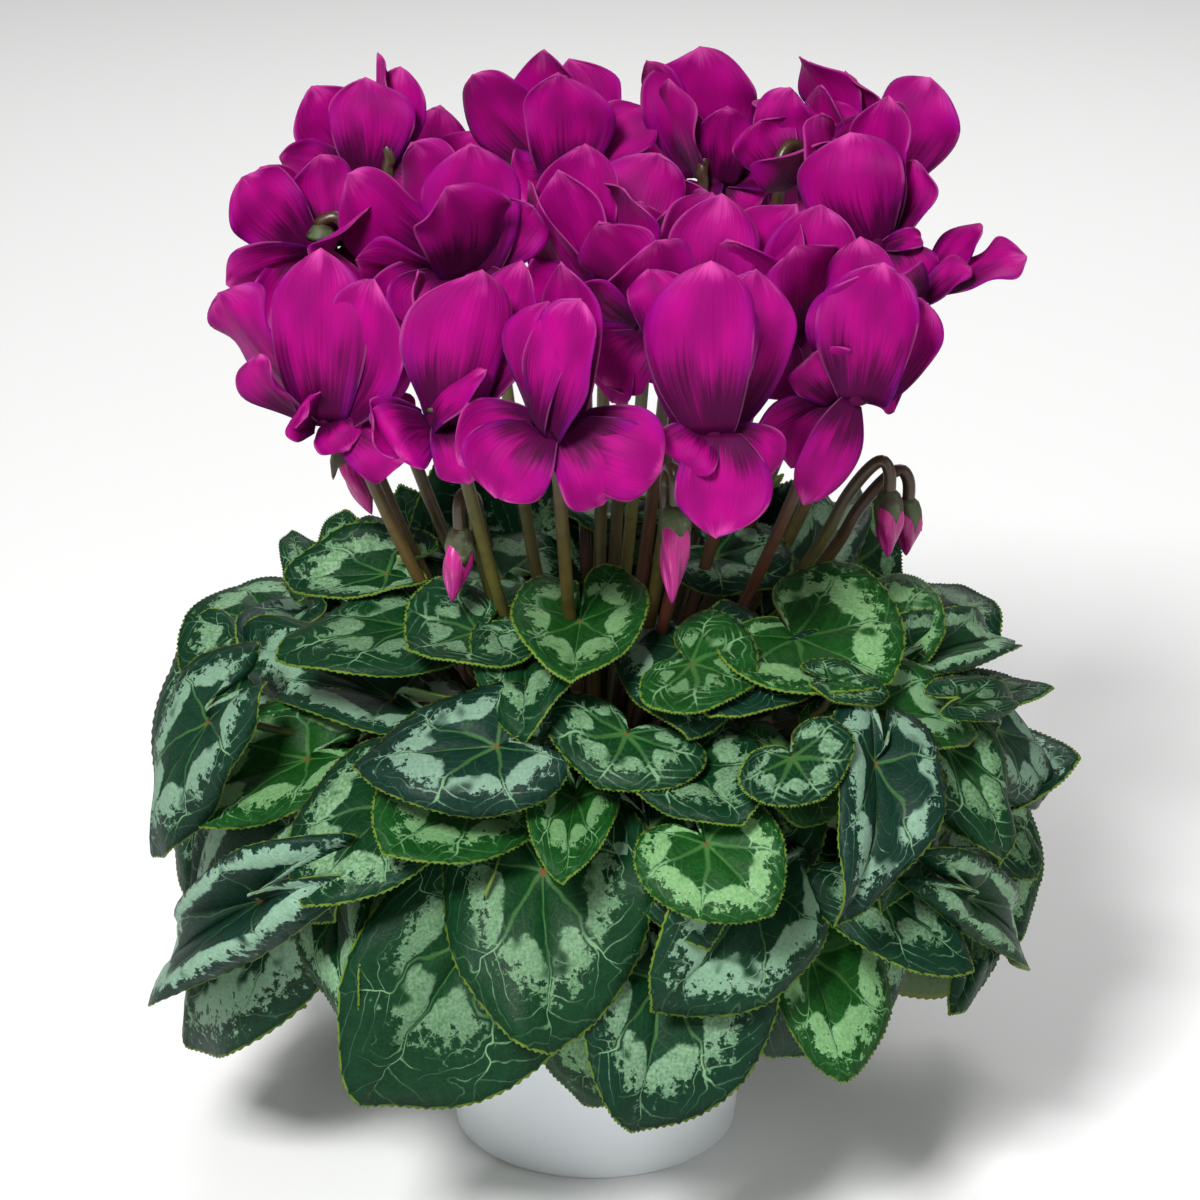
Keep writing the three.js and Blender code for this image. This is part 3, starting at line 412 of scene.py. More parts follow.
def leaf_finish():
    finish = Finish("leaf_blade")
    along, reach, _ = finish.uv("polar")
    _, _, flat = finish.uv("flat")
    length = finish.number("leaf_length")
    slate = finish.number("leaf_slate")
    fresh = finish.number("leaf_fresh")
    silvering = finish.number("leaf_silver")
    wander = finish.noise(flat, 6.0, 2.0) - 0.5
    rough = finish.noise(flat, 24.0, 3.0, 0.75)
    fine = finish.noise(flat, 90.0, 2.0, 0.6)
    turn = (along * 2 - 1) * OUTLINE_END + wander * 0.2
    share = reach + wander * 0.16

    # The main veins run from the notch at even steps of the outline, and thin out on the way.
    step = (turn / VEIN_STEP + 40.5).fraction() - 0.5
    main_gap = abs(step) * VEIN_STEP * 1.5 * length * reach
    main_vein = (main_gap / (0.00042 * (1.3 - reach))).falling(0.3, 1.0)

    # Side veins leave them at a slant, by turns to the left and to the right.
    sector = 1 - abs(step) * 2
    handed = step.rising(-0.01, 0.01) * 0.5
    slanted = share - (1 - sector) * SIDE_VEIN_SLANT + wander * 0.3
    branch = abs((slanted / SIDE_VEIN_STEP + handed + 20).fraction() - 0.5)
    branch = branch * SIDE_VEIN_STEP * length
    kept = (sector + (rough - 0.5) * 1.2).rising(0.3, 0.5)
    side_vein = (branch / (0.00025 + sector * 0.0003)).falling(0.4, 1.0) * reach.rising(0.15, 0.3)

    # Silver patches are round on the inside, ragged on the outside, and off the veins.
    ragged = (rough - 0.5) * 0.9
    inside = (share - sector ** 2 * 0.15 - silvering * 0.12 + ragged * 0.14).rising(0.4, 0.44)
    outside = (share + ragged - silvering * 0.13).falling(0.66, 0.74)
    off_veins = (main_gap / 0.0012 + share * 1.6 + ragged * 0.9).rising(1.25, 1.6)
    patch = inside * outside * off_veins * wander.rising(-0.17, -0.08)
    outer = (share + ragged * 0.3).rising(0.5, 0.58)
    streaks = side_vein * kept * outer * (share + ragged * 0.8).falling(0.76, 0.9)
    main_streaks = main_vein * share.rising(0.45, 0.65) * (share + ragged * 0.4).falling(0.8, 0.95)
    specks = fine.rising(0.7, 0.74) * outer * rough.rising(0.5, 0.6)
    silver = patch.at_least(streaks * 0.7).at_least(specks * 0.6)

    # The blade's own green, the silver over it, and then the veins, the rim and the junction.
    deep = finish.mixed(share.rising(0.1, 0.9), colour(8, 56, 22), colour(8, 50, 30))
    deep = finish.mixed(slate, deep, colour(14, 44, 40))
    deep = finish.mixed(fresh, deep, colour(24, 84, 20))
    deep = finish.mixed((rough * 0.6 + fine * 0.4).rising(0.3, 0.7) * 0.6, deep, colour(3, 22, 11))
    light = finish.mixed((fine * 0.6 + rough * 0.5).rising(0.35, 0.75),
                         colour(68, 112, 70), colour(148, 186, 146))
    light = finish.mixed(slate * 0.7, light, colour(134, 166, 154))
    light = finish.mixed(fresh * 0.6, light, colour(116, 168, 90))
    vein_tone = finish.mixed(share.rising(0.35, 0.7), colour(72, 120, 58), colour(122, 164, 120))
    blade = finish.mixed(side_vein * 0.12, deep, vein_tone)
    blade = finish.mixed(silver * (silvering * 0.2 + 0.72), blade, light)
    main = (main_vein * (1.1 - share) * 0.55).at_least(main_streaks * 0.75)
    blade = finish.mixed(main, blade, vein_tone)
    blade = finish.mixed(reach.rising(0.987, 0.996), blade, colour(96, 122, 42))
    blade = finish.mixed(reach.falling(0.015, 0.05), blade, colour(110, 74, 44))

    return finish.set(base_color=blade, roughness=fine * 0.2 + 0.4,
                      normal=finish.bump(fine, 0.0002), specular_ior_level=0.12)


leaf_material = leaf_finish()
print("nodes of the blade's upper side:", len(leaf_material.node_tree.nodes))


# %% The underside of a blade, and its petiole
def leaf_under_finish():
    finish = Finish("leaf_underside")
    along, reach, _ = finish.uv("polar")
    _, _, flat = finish.uv("flat")
    fine = finish.noise(flat, 50.0, 3.0)
    turn = (along * 2 - 1) * OUTLINE_END
    step = abs((turn / VEIN_STEP + 40.5).fraction() - 0.5) * reach
    tone = finish.mixed(fine, colour(96, 128, 84), colour(128, 152, 108))
    tone = finish.mixed(step.falling(0.02, 0.06), tone, colour(146, 92, 84))
    tone = finish.mixed(reach.rising(0.97, 0.99), tone, colour(140, 150, 70))
    return finish.set(base_color=tone, roughness=0.6, normal=finish.bump(fine, 0.0003))


def petiole_finish():
    finish = Finish("petiole")
    place = finish.place()
    fine = finish.noise(place, 120.0, 3.0)
    tone = finish.mixed(finish.noise(place, 14.0).rising(0.4, 0.6), colour(72, 44, 30),
                        colour(58, 72, 32))
    tone = finish.mixed(fine * 0.4, tone, colour(50, 34, 22))
    return finish.set(base_color=tone, roughness=0.45, normal=finish.bump(fine, 0.0002))


leaf_under_material = leaf_under_finish()
petiole_material = petiole_finish()
print("made:", leaf_under_material.name, petiole_material.name)


# %% [markdown]
# ### Petal
# A petal is magenta, darker and brownish at its claw, partly its own colour and partly painted
# shade deep in the bloom, and paler at its tip with a painted highlight. It has fine lengthwise
# streaks, a thin pale rim and painted violet shade towards its sides. It has a velvet sheen that
# turns violet where it is seen edge-on.

# %% Petal material
def petal_finish():
    finish = Finish("petal")
    side, share, _ = finish.uv("petal")
    tone_shift = finish.number("petal_tone")
    across = abs(side * 2 - 1)
    streak = finish.noise(finish.vector(side * 30 + tone_shift * 9, share * 2), 1.0, 3.0, 0.6)
    cloud = finish.noise(finish.vector(side * 2.5 + tone_shift * 5, share * 2.5), 1.0, 1.0)
    body = finish.mixed(cloud.rising(0.3, 0.7), colour(128, 0, 94), colour(160, 0, 114))
    body = finish.mixed(streak.rising(0.5, 0.75) * 0.35, body, colour(116, 0, 92))
    # A painted highlight makes the petal paler towards its tip.
    tip = (share + (streak - 0.5) * 0.35 + (cloud - 0.5) * 0.6).rising(0.74, 1.1)
    body = finish.mixed(tip * 0.75, body, colour(204, 78, 160))
    # Darker at the claw: partly the petal's own dark base, partly painted shade deep inside the
    # bloom.
    claw = (share + (streak - 0.5) * 0.6 + (cloud - 0.5) * 0.4).falling(0.1, 0.45)
    body = finish.mixed(claw * 0.9, body, colour(52, 0, 40))
    # Painted violet shade towards the petal's sides, where its surface turns away from the light.
    violet = across.rising(0.5, 1.0) * cloud.rising(0.4, 0.65)
    body = finish.mixed(violet * 0.32, body, colour(78, 4, 116))
    rim = across.rising(0.94, 0.99).at_least(share.rising(0.985, 0.998))
    edge = finish.mixed(cloud.rising(0.45, 0.55), colour(206, 110, 180), colour(84, 8, 112))
    body = finish.mixed(rim * 0.22, body, edge)
    return finish.set(base_color=body, roughness=streak * 0.1 + 0.55,
                      normal=finish.bump(streak, 0.0003), specular_ior_level=0.08,
                      sheen_weight=0.03, sheen_roughness=0.4, sheen_tint=(0.6, 0.3, 1.0, 1.0))


petal_material = petal_finish()
print("nodes of the petal:", len(petal_material.node_tree.nodes))


# %% [markdown]
# ### Stalk, bud and calyx
# Stalks are waxy, olive below and red-brown near the hook, and no two are quite alike. Painted
# shade darkens them towards the foot, under the leaves. A bud's petals are still rolled round each
# other, hot pink with pale streaks, in a grey-green calyx.

# %% Stalk, bud and calyx materials
def stalk_finish():
    finish = Finish("stalk")
    place = finish.place()
    redness = finish.number("stalk_redness")
    height = finish.number("stalk_height")
    fine = finish.noise(place, 260.0, 3.0, 0.6)
    tone = finish.mixed(redness, colour(88, 86, 36), colour(82, 40, 28))
    tone = finish.mixed(height.rising(0.7, 0.98) * 0.8, tone, colour(56, 26, 22))
    # Painted shade: darker towards the foot, where the stalk stands under the leaves.
    tone = finish.mixed(height.falling(0.05, 0.6) * 0.7, tone, colour(34, 20, 14))
    tone = finish.mixed(fine.rising(0.45, 0.7) * 0.35, tone, colour(46, 36, 20))
    return finish.set(base_color=tone, roughness=0.38, normal=finish.bump(fine, 0.0002),
                      coat_weight=0.15, coat_roughness=0.3)


def bud_finish():
    finish = Finish("bud_petal")
    turn, share, _ = finish.uv("bud")
    streak = finish.noise(finish.vector(turn * 26, share * 2), 1.0, 3.0)
    tone = finish.mixed(share.rising(0.1, 0.7), colour(186, 20, 126), colour(150, 0, 104))
    tone = finish.mixed(streak.rising(0.52, 0.7) * 0.55, tone, colour(226, 110, 178))
    tone = finish.mixed(share.rising(0.8, 1.0) * 0.6, tone, colour(120, 6, 104))
    return finish.set(base_color=tone, roughness=0.4, normal=finish.bump(streak, 0.0003),
                      sheen_weight=0.04, sheen_tint=(0.9, 0.5, 1.0, 1.0))


def calyx_finish():
    finish = Finish("calyx")
    place = finish.place()
    fine = finish.noise(place, 400.0, 3.0, 0.7)
    blotch = finish.noise(place, 160.0, 2.0)
    tone = finish.mixed(blotch.rising(0.4, 0.65), colour(70, 84, 50), colour(52, 36, 28))
    tone = finish.mixed(fine.rising(0.55, 0.75) * 0.5, tone, colour(120, 132, 96))
    return finish.set(base_color=tone, roughness=0.6, normal=finish.bump(fine, 0.0002))


stalk_material = stalk_finish()
bud_material = bud_finish()
calyx_material = calyx_finish()
print("made:", stalk_material.name, bud_material.name, calyx_material.name)


# %% [markdown]
# ### Pot, soil, tuber and floor
# The pot is thin white plastic with a faint cold tint and the slight unevenness of its moulding.
# Peat is dark and crumbly with a few pale grains. The tuber's skin is brown cork with rough scars.

# %% Pot, soil, tuber and floor materials
def pot_finish():
    finish = Finish("pot_plastic")
    place = finish.place()
    cloud = finish.noise(place, 18.0, 3.0)
    fine = finish.noise(place, 300.0, 2.0)
    tone = finish.mixed(cloud, colour(226, 234, 239), colour(240, 244, 246))
    return finish.set(base_color=tone, roughness=cloud * 0.12 + 0.3,
                      normal=finish.bump(cloud + fine * 0.1, 0.0003), coat_weight=0.1)


def soil_finish():
    finish = Finish("peat")
    place = finish.place()
    crumb = finish.noise(place, 140.0, 6.0, 0.7)
    grains = finish.cells(place, 150.0).falling(0.12, 0.2)
    grains = grains * finish.noise(place, 50.0).rising(0.5, 0.6)
    tone = finish.mixed(crumb.rising(0.3, 0.7), colour(26, 17, 12), colour(78, 54, 38))
    tone = finish.mixed(grains, tone, colour(206, 200, 188))
    return finish.set(base_color=tone, roughness=0.95, normal=finish.bump(crumb, 0.002))


def tuber_finish():
    finish = Finish("cork_skin")
    place = finish.place()
    rough = finish.noise(place, 90.0, 6.0, 0.65)
    scars = finish.cells(place, 110.0, "SMOOTH_F1")
    tone = finish.mixed(rough.rising(0.35, 0.65), colour(58, 38, 26), colour(118, 84, 58))
    return finish.set(base_color=tone, roughness=0.85,
                      normal=finish.bump(rough + scars * 0.6, 0.0015))


def floor_finish():
    finish = Finish("pale_floor")
    return finish.set(base_color=(0.93, 0.93, 0.925, 1), roughness=0.7)


pot_material = pot_finish()
soil_material = soil_finish()
tuber_material = tuber_finish()
floor.data.materials.append(floor_finish())
print("made:", pot_material.name, soil_material.name, tuber_material.name)


# %% [markdown]
# ## Where everything grows
# The next cells repeat the layout that the solids were built on, so that the finer pieces fall
# exactly where the solids are. The leaves make a dome. It could be modelled as one surface to snap
# to, but a formula for how far out a point lies also says which of two blades is the outer one.

# %% The leaf dome
SPRAY_COUNT = 8
DOME_RADIUS = 158
DOME_MIDDLE = 100
DOME_RISE = 112
DOME_POWER = 3
LAYER_STEP = 0.016
DEEPEST_LEVEL = 0.76
SEARCH_REACH = 230
dome_centre = np.array([0.0, 0.0, DOME_MIDDLE])


def vary(*seeds):
    """A small repeatable number from -1 to 1, for the differences between like pieces."""
    total = 0.5
    for k, seed in enumerate(seeds):
        total += seed * (12.9898 + 65.31 * k)
    wave = math.sin(total) * 43758.5453
    return 2 * (wave - math.floor(wave)) - 1


def near(usual, *seeds):
    """A number near a usual one: the pair holds that number and how far off it may be."""
    return usual[0] + usual[1] * vary(*seeds)


def unit(vector):
    return vector / np.linalg.norm(vector, axis=-1, keepdims=True)


def dome_level(points):
    """How far out points lie: 1 on the dome's surface and less inside it."""
    flat = np.hypot(points[..., 0], points[..., 1]) / DOME_RADIUS
    high = np.abs(points[..., 2] - DOME_MIDDLE) / DOME_RISE
    return (flat ** DOME_POWER + high ** DOME_POWER) ** (1 / DOME_POWER)


def to_level(points, level):
    """Points moved straight towards or away from the dome's middle, to a level."""
    scale = np.asarray(level / dome_level(points))[..., None]
    return (points - dome_centre) * scale + dome_centre


def dome_normal(point):
    """The direction straight out of the dome at a point."""
    flat = max(math.hypot(point[0], point[1]), 1e-6)
    out = (flat / DOME_RADIUS) ** (DOME_POWER - 1) / DOME_RADIUS
    high = (point[2] - DOME_MIDDLE) / DOME_RISE
    rise = math.copysign(abs(high) ** (DOME_POWER - 1), high) / DOME_RISE
    return unit(np.array([out * point[0] / flat, out * point[1] / flat, rise]))


def on_dome(x, y, level):
    """Where a pixel's line of sight first meets the dome, or comes closest to it."""
    distances = np.arange(VIEW_DISTANCE - SEARCH_REACH, VIEW_DISTANCE + SEARCH_REACH)
    points = eye + sight_line(x, y) * distances[:, None]
    levels = dome_level(points)
    met = np.nonzero(levels <= level)[0]
    return points[met[0] if len(met) else int(np.argmin(levels))]


def dome_point(azimuth, slope, level):
    """The point at a level that is seen from the dome's middle at an azimuth and a slope."""
    way = np.array([math.cos(slope) * math.cos(azimuth), math.cos(slope) * math.sin(azimuth),
                    math.sin(slope)])
    return to_level(way + dome_centre, level)


print("the dome is", 2 * DOME_RADIUS, "mm wide and its top is at",
      DOME_MIDDLE + DOME_RISE, "mm")


# %% [markdown]
# ### A leaf's outline
# A cyclamen leaf is heart-shaped, with two round lobes beside the notch where its stem meets it. A
# curve object could draw it. A smooth line through eight corners does too, and it also gives the
# point at any turn round the outline, which the blade's grid and its veins need.

# %% A leaf's outline
# Half of the outline from the tip round the side lobe to the notch: along the midrib in leaf
# lengths and across it in half widths
HALF_LEAF = np.array([(1.04, 0), (0.84, 0.38), (0.5, 0.78), (0.1, 1), (-0.26, 0.88),
                      (-0.46, 0.52), (-0.36, 0.18), (-0.04, 0)])
FINE_HALF_LEAF = np.array([(1.05, 0), (0.88, 0.42), (0.53, 0.84), (0.1, 1.03), (-0.28, 0.94),
                           (-0.5, 0.56), (-0.36, 0.16), (-0.02, 0)])
TOOTH = 0.03


def between(before, here, after, beyond, step):
    """The point at a step from here to after, on a smooth line through four points."""
    into, out_of = (after - before) / 2, (beyond - here) / 2
    return ((2 * here - 2 * after + into + out_of) * step ** 3
            + (3 * after - 3 * here - 2 * into - out_of) * step ** 2 + into * step + here)


def half_leaf(turn, corners=HALF_LEAF):
    """Points of the half outline at turns from 0 at the tip to 1 at the notch."""
    last = len(corners) - 1
    scaled = np.asarray(turn, float) * last
    start = np.minimum(np.floor(scaled).astype(int), last)
    step = (scaled - start)[..., None]
    return between(*(corners[np.clip(start + k, 0, last)] for k in (-1, 0, 1, 2)), step)


def leaf_outline(count):
    """The whole outline, from the tip round both lobes and back, with small teeth."""
    turns = 2 * np.arange(count + 1) / count
    points = half_leaf(np.where(turns <= 1, turns, 2 - turns))
    points *= (1 + np.where(np.arange(count + 1) % 2 == 0, TOOTH, -TOOTH))[:, None]
    points[:, 1] *= np.where(turns <= 1, 1, -1)
    return points


SAMPLE_OUTLINE = leaf_outline(16)
print("corners of half a leaf:", len(HALF_LEAF))


# %% [markdown]
# ### A leaf's own directions
# Each blade lies on the dome in its own way: along its midrib, across it and out from the dome. One
# object per leaf holds those directions. At the rim of the mound a real blade turns its face to the
# light, so such a leaf is turned about its midrib, as a door on its hinge, until it faces the view.

# %% The Leaf class
LEAF_MIDDLE = 0.1
MIDRIB_MIDDLE = 0.4
SAMPLE_RINGS = (0.55, 1.06)
BLADES_APART = 40
LEAST_FACING = math.radians(50)
OPENING_HINGE = -0.3
USUAL_LENGTH = 60
FUNNEL = (5.4, 1.6)
BOWL_FUNNEL = (3.4, 1.6)
# Leaves round the stalks, whose rims turn up where no other leaf lies over them
BOWLS = range(38, 50)


class Leaf:
    """A leaf's own directions: along its midrib, across it and out from the dome."""

    def __init__(self, notch, tip, levels, width):
        along = tip - notch
        self.notch = notch
        self.length = float(np.linalg.norm(along))
        self.along = along / self.length
        out = dome_normal((notch + tip) / 2)
        self.out = unit(out - self.along * np.dot(out, self.along))
        self.across = np.cross(self.out, self.along)
        self.levels = levels
        self.width = width
        self.samples = None
        self.faces_view = False
        self.shift = np.zeros(3)

    def level(self, u):
        """How far out the blade lies at u along its midrib."""
        return self.levels[0] + (self.levels[1] - self.levels[0]) * u

    def place(self, u, v):
        """Points at u along the midrib and v across it."""
        u, v = np.asarray(u, float), np.asarray(v, float)
        flat = (self.notch + self.along * (u * self.length)[..., None]
                + self.across * (v * self.width / 2)[..., None])
        return flat if self.levels is None else to_level(flat, self.level(u))

    def funnel(self):
        """How far the blade dips where its stem meets it."""
        usual = BOWL_FUNNEL if self.number in BOWLS else FUNNEL
        return near(usual, self.number, 2) * self.length / USUAL_LENGTH

    def turned(self, places):
        """Turns a blade at the rim of the mound about its midrib, until its face shows."""
        sight = unit(eye - self.notch)
        square = sight - self.along * np.dot(sight, self.along)
        now = math.acos(np.clip(np.dot(self.out, unit(square)), -1, 1))
        angle = now - LEAST_FACING
        if angle <= 0 or not self.faces_view:
            return places
        nearer = 1 if np.dot(self.across, sight) > 0 else -1
        hinge = self.notch + self.across * nearer * OPENING_HINGE * self.width / 2
        if np.dot(np.cross(self.out, square), self.along) < 0:
            angle = -angle
        arm = places - hinge
        return hinge + (arm * math.cos(angle) + np.cross(self.along, arm) * math.sin(angle)
                        + self.along * (arm @ self.along)[..., None] * (1 - math.cos(angle)))

    def share_under(self, points):
        """Where points lie along a leaf that is over or under them, or no number beside it."""
        offset = to_level(points, self.level(MIDRIB_MIDDLE)) - self.notch
        x = offset @ self.along / self.length
        y = offset @ self.across / (self.width / 2)
        first, second = SAMPLE_OUTLINE, np.roll(SAMPLE_OUTLINE, -1, axis=0)
        height = y[:, None]
        spans = (first[:, 1] > height) != (second[:, 1] > height)
        rise = np.where(spans, second[:, 1] - first[:, 1], 1)
        edge = first[:, 0] + (second[:, 0] - first[:, 0]) * (height - first[:, 1]) / rise
        inside = (spans & (x[:, None] < edge)).sum(axis=1) % 2 == 1
        inside &= np.abs(offset @ self.out) <= BLADES_APART
        return np.where(inside, x, np.nan)

    def take_samples(self):
        """Keeps the points of the blade that are tested against other blades."""
        rings = [SAMPLE_OUTLINE * ring for ring in SAMPLE_RINGS]
        spots = np.concatenate([[[LEAF_MIDDLE, 0]], *rings])
        self.samples = spots[:, 0], self.place(spots[:, 0], spots[:, 1])


# %% [markdown]
# ### Marks of the leaves
# Each leaf that the photograph shows is marked by its notch, its tip and its width in pixels. A
# line of sight through the notch meets the dome where the leaf's stem ends. The far side can't be
# seen, so its leaves stand in rows round the dome, each a little off its regular place.

# %% Leaf marks
# Leaves in photo pixels: notch x, notch y, tip x, tip y and width, the innermost first
LEAF_MARKS = [
    (400, 548, 335, 520, 60), (860, 560, 875, 500, 80), (815, 560, 845, 485, 80),
    (715, 545, 783, 572, 90), (320, 600, 245, 642, 90),
    (262, 597, 174, 652, 90), (205, 690, 172, 888, 115), (268, 840, 178, 1042, 190),
    (330, 900, 345, 1021, 85), (475, 930, 368, 1102, 230), (663, 985, 638, 1137, 187),
    (818, 955, 843, 1078, 120), (985, 890, 968, 1006, 75), (1010, 840, 1026, 936, 80),
    (925, 600, 998, 635, 90), (965, 735, 1071, 722, 130), (960, 680, 1048, 675, 50),
    (1005, 815, 1045, 872, 60), (940, 830, 1000, 858, 80), (855, 750, 885, 710, 60),
    (540, 870, 553, 1047, 212), (650, 825, 708, 944, 120), (765, 880, 668, 1013, 170),
    (385, 690, 233, 640, 100), (300, 755, 180, 806, 120), (320, 835, 325, 917, 125),
    (393, 800, 307, 902, 150), (472, 796, 387, 852, 140), (880, 885, 968, 966, 110),
    (910, 765, 885, 907, 90), (707, 842, 770, 912, 140), (575, 795, 563, 877, 88),
    (800, 765, 790, 817, 120), (680, 757, 742, 817, 135), (885, 625, 943, 620, 110),
    (955, 742, 1010, 853, 78), (865, 700, 980, 728, 95), (885, 760, 853, 920, 95),
    (627, 733, 598, 781, 165), (495, 742, 356, 762, 125), (410, 620, 279, 651, 92),
    (384, 568, 290, 578, 62), (527, 645, 521, 727, 110), (682, 645, 690, 731, 135),
    (768, 655, 712, 716, 130), (793, 757, 820, 798, 118), (478, 628, 413, 650, 95),
    (797, 631, 888, 677, 140), (692, 660, 752, 682, 112), (580, 615, 572, 690, 128),
]

# Leaves among them with a slate-blue blade, and young ones with a fresh green blade
SLATE_LEAVES = {4, 6, 7, 15, 21, 22, 23, 36, 37, 39, 43, 44, 60, 61, 68}
FRESH_LEAVES = {11, 24, 27, 30, 31, 32, 34, 36, 47, 48, 49}

# Rows of leaves on the side that the photograph hides: slope of the notch and of the tip seen from
# the middle of the dome, first and last azimuth in degrees, leaf count and width in mm
HIDDEN_ROWS = [
    {"notch": 68, "tip": 50, "first": 35, "last": 145, "count": 3, "width": 50},
    {"notch": 45, "tip": 25, "first": 38, "last": 142, "count": 4, "width": 60},
    {"notch": 21, "tip": 1, "first": 18, "last": 160, "count": 6, "width": 60},
    {"notch": -4, "tip": -26, "first": 30, "last": 150, "count": 5, "width": 64},
]
print("leaves seen:", len(LEAF_MARKS), "hidden:", sum(row["count"] for row in HIDDEN_ROWS))


# %% From a mark to a leaf
LEAST_SHOWN = 0.62


def seen_leaf(mark, notch_level, tip_level):
    """A leaf whose notch and tip lie on two pixels' lines of sight."""
    notch_x, notch_y, tip_x, tip_y, seen_width = mark
    notch = on_dome(notch_x, notch_y, notch_level)
    tip = on_dome(tip_x, tip_y, tip_level)
    leaf = Leaf(notch, tip, (float(dome_level(notch)), float(dome_level(tip))), 1)
    shown = math.sqrt(1 - np.dot(leaf.across, unit(notch - eye)) ** 2)
    leaf.width = seen_width * millimetres_per_pixel(notch) / max(shown, LEAST_SHOWN)
    return leaf


def hidden_leaf(row, row_number, i, notch_level, tip_level):
    """Leaf i of a row round the dome."""
    step = (row["last"] - row["first"]) / (row["count"] - 1)
    azimuth = math.radians(row["first"] + step * near((i, 0.3), i, row_number))
    notch_slope = math.radians(near((row["notch"], 4), i, row_number, 1))
    tip_slope = math.radians(near((row["tip"], 3), i, row_number, 2))
    lean = math.radians(near((0, 8), i, row_number, 3))
    width = row["width"] * near((1, 0.15), i, row_number, 4)
    return Leaf(dome_point(azimuth, notch_slope, notch_level),
                dome_point(azimuth + lean, tip_slope, tip_level), (notch_level, tip_level), width)


first_leaf = seen_leaf(LEAF_MARKS[0], 1.0, 1.0)
print("the innermost marked leaf is", round(first_leaf.length), "mm long")


# %% [markdown]
# ### Laying the leaves
# A leaf lies as far out as the leaves over it let it, tilted like a shingle where that helps. The
# blades could be placed one by one by hand, but then each change would bring new crossings. A rule
# that lays them from the outermost in keeps them apart by itself.

# %% Lay every leaf
# How much deeper a notch may lie than its tip, how often a leaf is tried, and the share of its tilt
# by which its middle is deeper than its tip
TILTS = (0, 0.02, 0.04, 0.06, 0.08, 0.11, 0.14)
LAYING_PASSES = 5
MIDDLE_SHARE = 0.6
FIRST_HIDDEN = 100


def limits_under(laid, leaf):
    """How far out a leaf may lie at places along it, under the leaves already laid."""
    limits = []
    shares, points = leaf.samples
    for other in laid:
        above = other.share_under(points)
        hit = ~np.isnan(above)
        limits += list(zip(shares[hit], other.level(above[hit]) - LAYER_STEP))
        other_shares, other_points = other.samples
        below = leaf.share_under(other_points)
        hit = ~np.isnan(below)
        limits += list(zip(below[hit], other.level(other_shares[hit]) - LAYER_STEP))
    return limits


def lay_leaf(make, laid):
    """The leaf that a function makes, as far out as the leaves already laid let it lie."""
    leaf = make(1.0, 1.0)
    limits = []
    for _ in range(LAYING_PASSES):
        leaf.take_samples()
        limits += limits_under(laid, leaf)
        best = None
        for tilt in TILTS:
            tips = [level + tilt * (1 - share) for share, level in limits]
            tip = max(DEEPEST_LEVEL + tilt, min([1.0, *tips]))
            middle = tip - MIDDLE_SHARE * tilt
            if best is None or middle > best[2] + 1e-6:
                best = (tip - tilt, tip, middle)
        leaf = make(best[0], best[1])
    leaf.take_samples()
    return leaf


def lay_leaves():
    """Every marked and hidden leaf, laid from the outermost in."""
    makers = [(number, partial(seen_leaf, mark)) for number, mark in enumerate(LEAF_MARKS)]
    makers.reverse()
    for row_number, row in enumerate(HIDDEN_ROWS):
        for i in sorted(range(row["count"]), key=lambda k: k % 2):
            number = FIRST_HIDDEN + 10 * row_number + i
            makers.append((number, partial(hidden_leaf, row, row_number, i)))
    laid = []
    for number, make in makers:
        leaf = lay_leaf(make, laid)
        leaf.number = number
        laid.append(leaf)
    return laid


laid_leaves = lay_leaves()
print("leaves laid:", len(laid_leaves))


# %% [markdown]
# ### Leaves that fill the gaps
# The solids hold the leaves that make the plant's form. A real plant is so full that no light falls
# through it, so more leaves stand behind, between and over those: rows deep inside the dome, single
# ones on the seen side, and young ones that stand up among the stalks.

# %% Marks of the leaves that fill the gaps
# Rows of leaves deep inside the dome, all round it, that close the gaps between the outer ones
INNER_ROWS = [
    {"notch": 33, "tip": 8, "first": 0, "last": 324, "count": 10, "width": 60, "level": 0.68},
    {"notch": 4, "tip": -22, "first": 18, "last": 342, "count": 10, "width": 62, "level": 0.68},
    {"notch": 24, "tip": -4, "first": 22, "last": 158, "count": 6, "width": 62, "level": 0.82},
    {"notch": -2, "tip": -30, "first": 10, "last": 170, "count": 7, "width": 62, "level": 0.82},
]

# Leaves of the seen side that stand clear of the shingled ones, in photo pixels: the notch, the
# tip and the width, and then the level
MORE_LEAVES = [
    (192, 722, 142, 852, 96, 0.98), (235, 905, 150, 985, 96, 0.97),
    (930, 648, 1012, 640, 66, 0.94), (305, 575, 290, 530, 46, 0.9),
    (345, 556, 338, 508, 52, 0.86), (965, 700, 1012, 700, 52, 1.0),
    (835, 680, 890, 692, 44, 1.01), (985, 900, 1030, 960, 70, 0.95),
    (1010, 730, 1050, 800, 80, 0.95),
]

# Young leaves that stand among the stalks, in mm: notch, tip and width
STANDING_LEAVES = [
    ((-50, 42, 160), (-66, 56, 208), 42), ((-17, 54, 158), (-20, 70, 212), 46),
    ((18, 56, 160), (26, 72, 210), 44), ((52, 44, 162), (70, 58, 210), 42),
    ((-40, 48, 160), (-46, 54, 226), 52), ((-64, 34, 160), (-80, 44, 200), 46),
]
print("leaves that fill:", sum(row["count"] for row in INNER_ROWS) + len(MORE_LEAVES)
      + len(STANDING_LEAVES))


# %% Add the leaves that fill the gaps
FIRST_MORE = 60
FIRST_INNER = 200
FIRST_STANDING = 300
INNER_SEED = 7
INNER_TILT = 0.03
MORE_TILT = 0.01


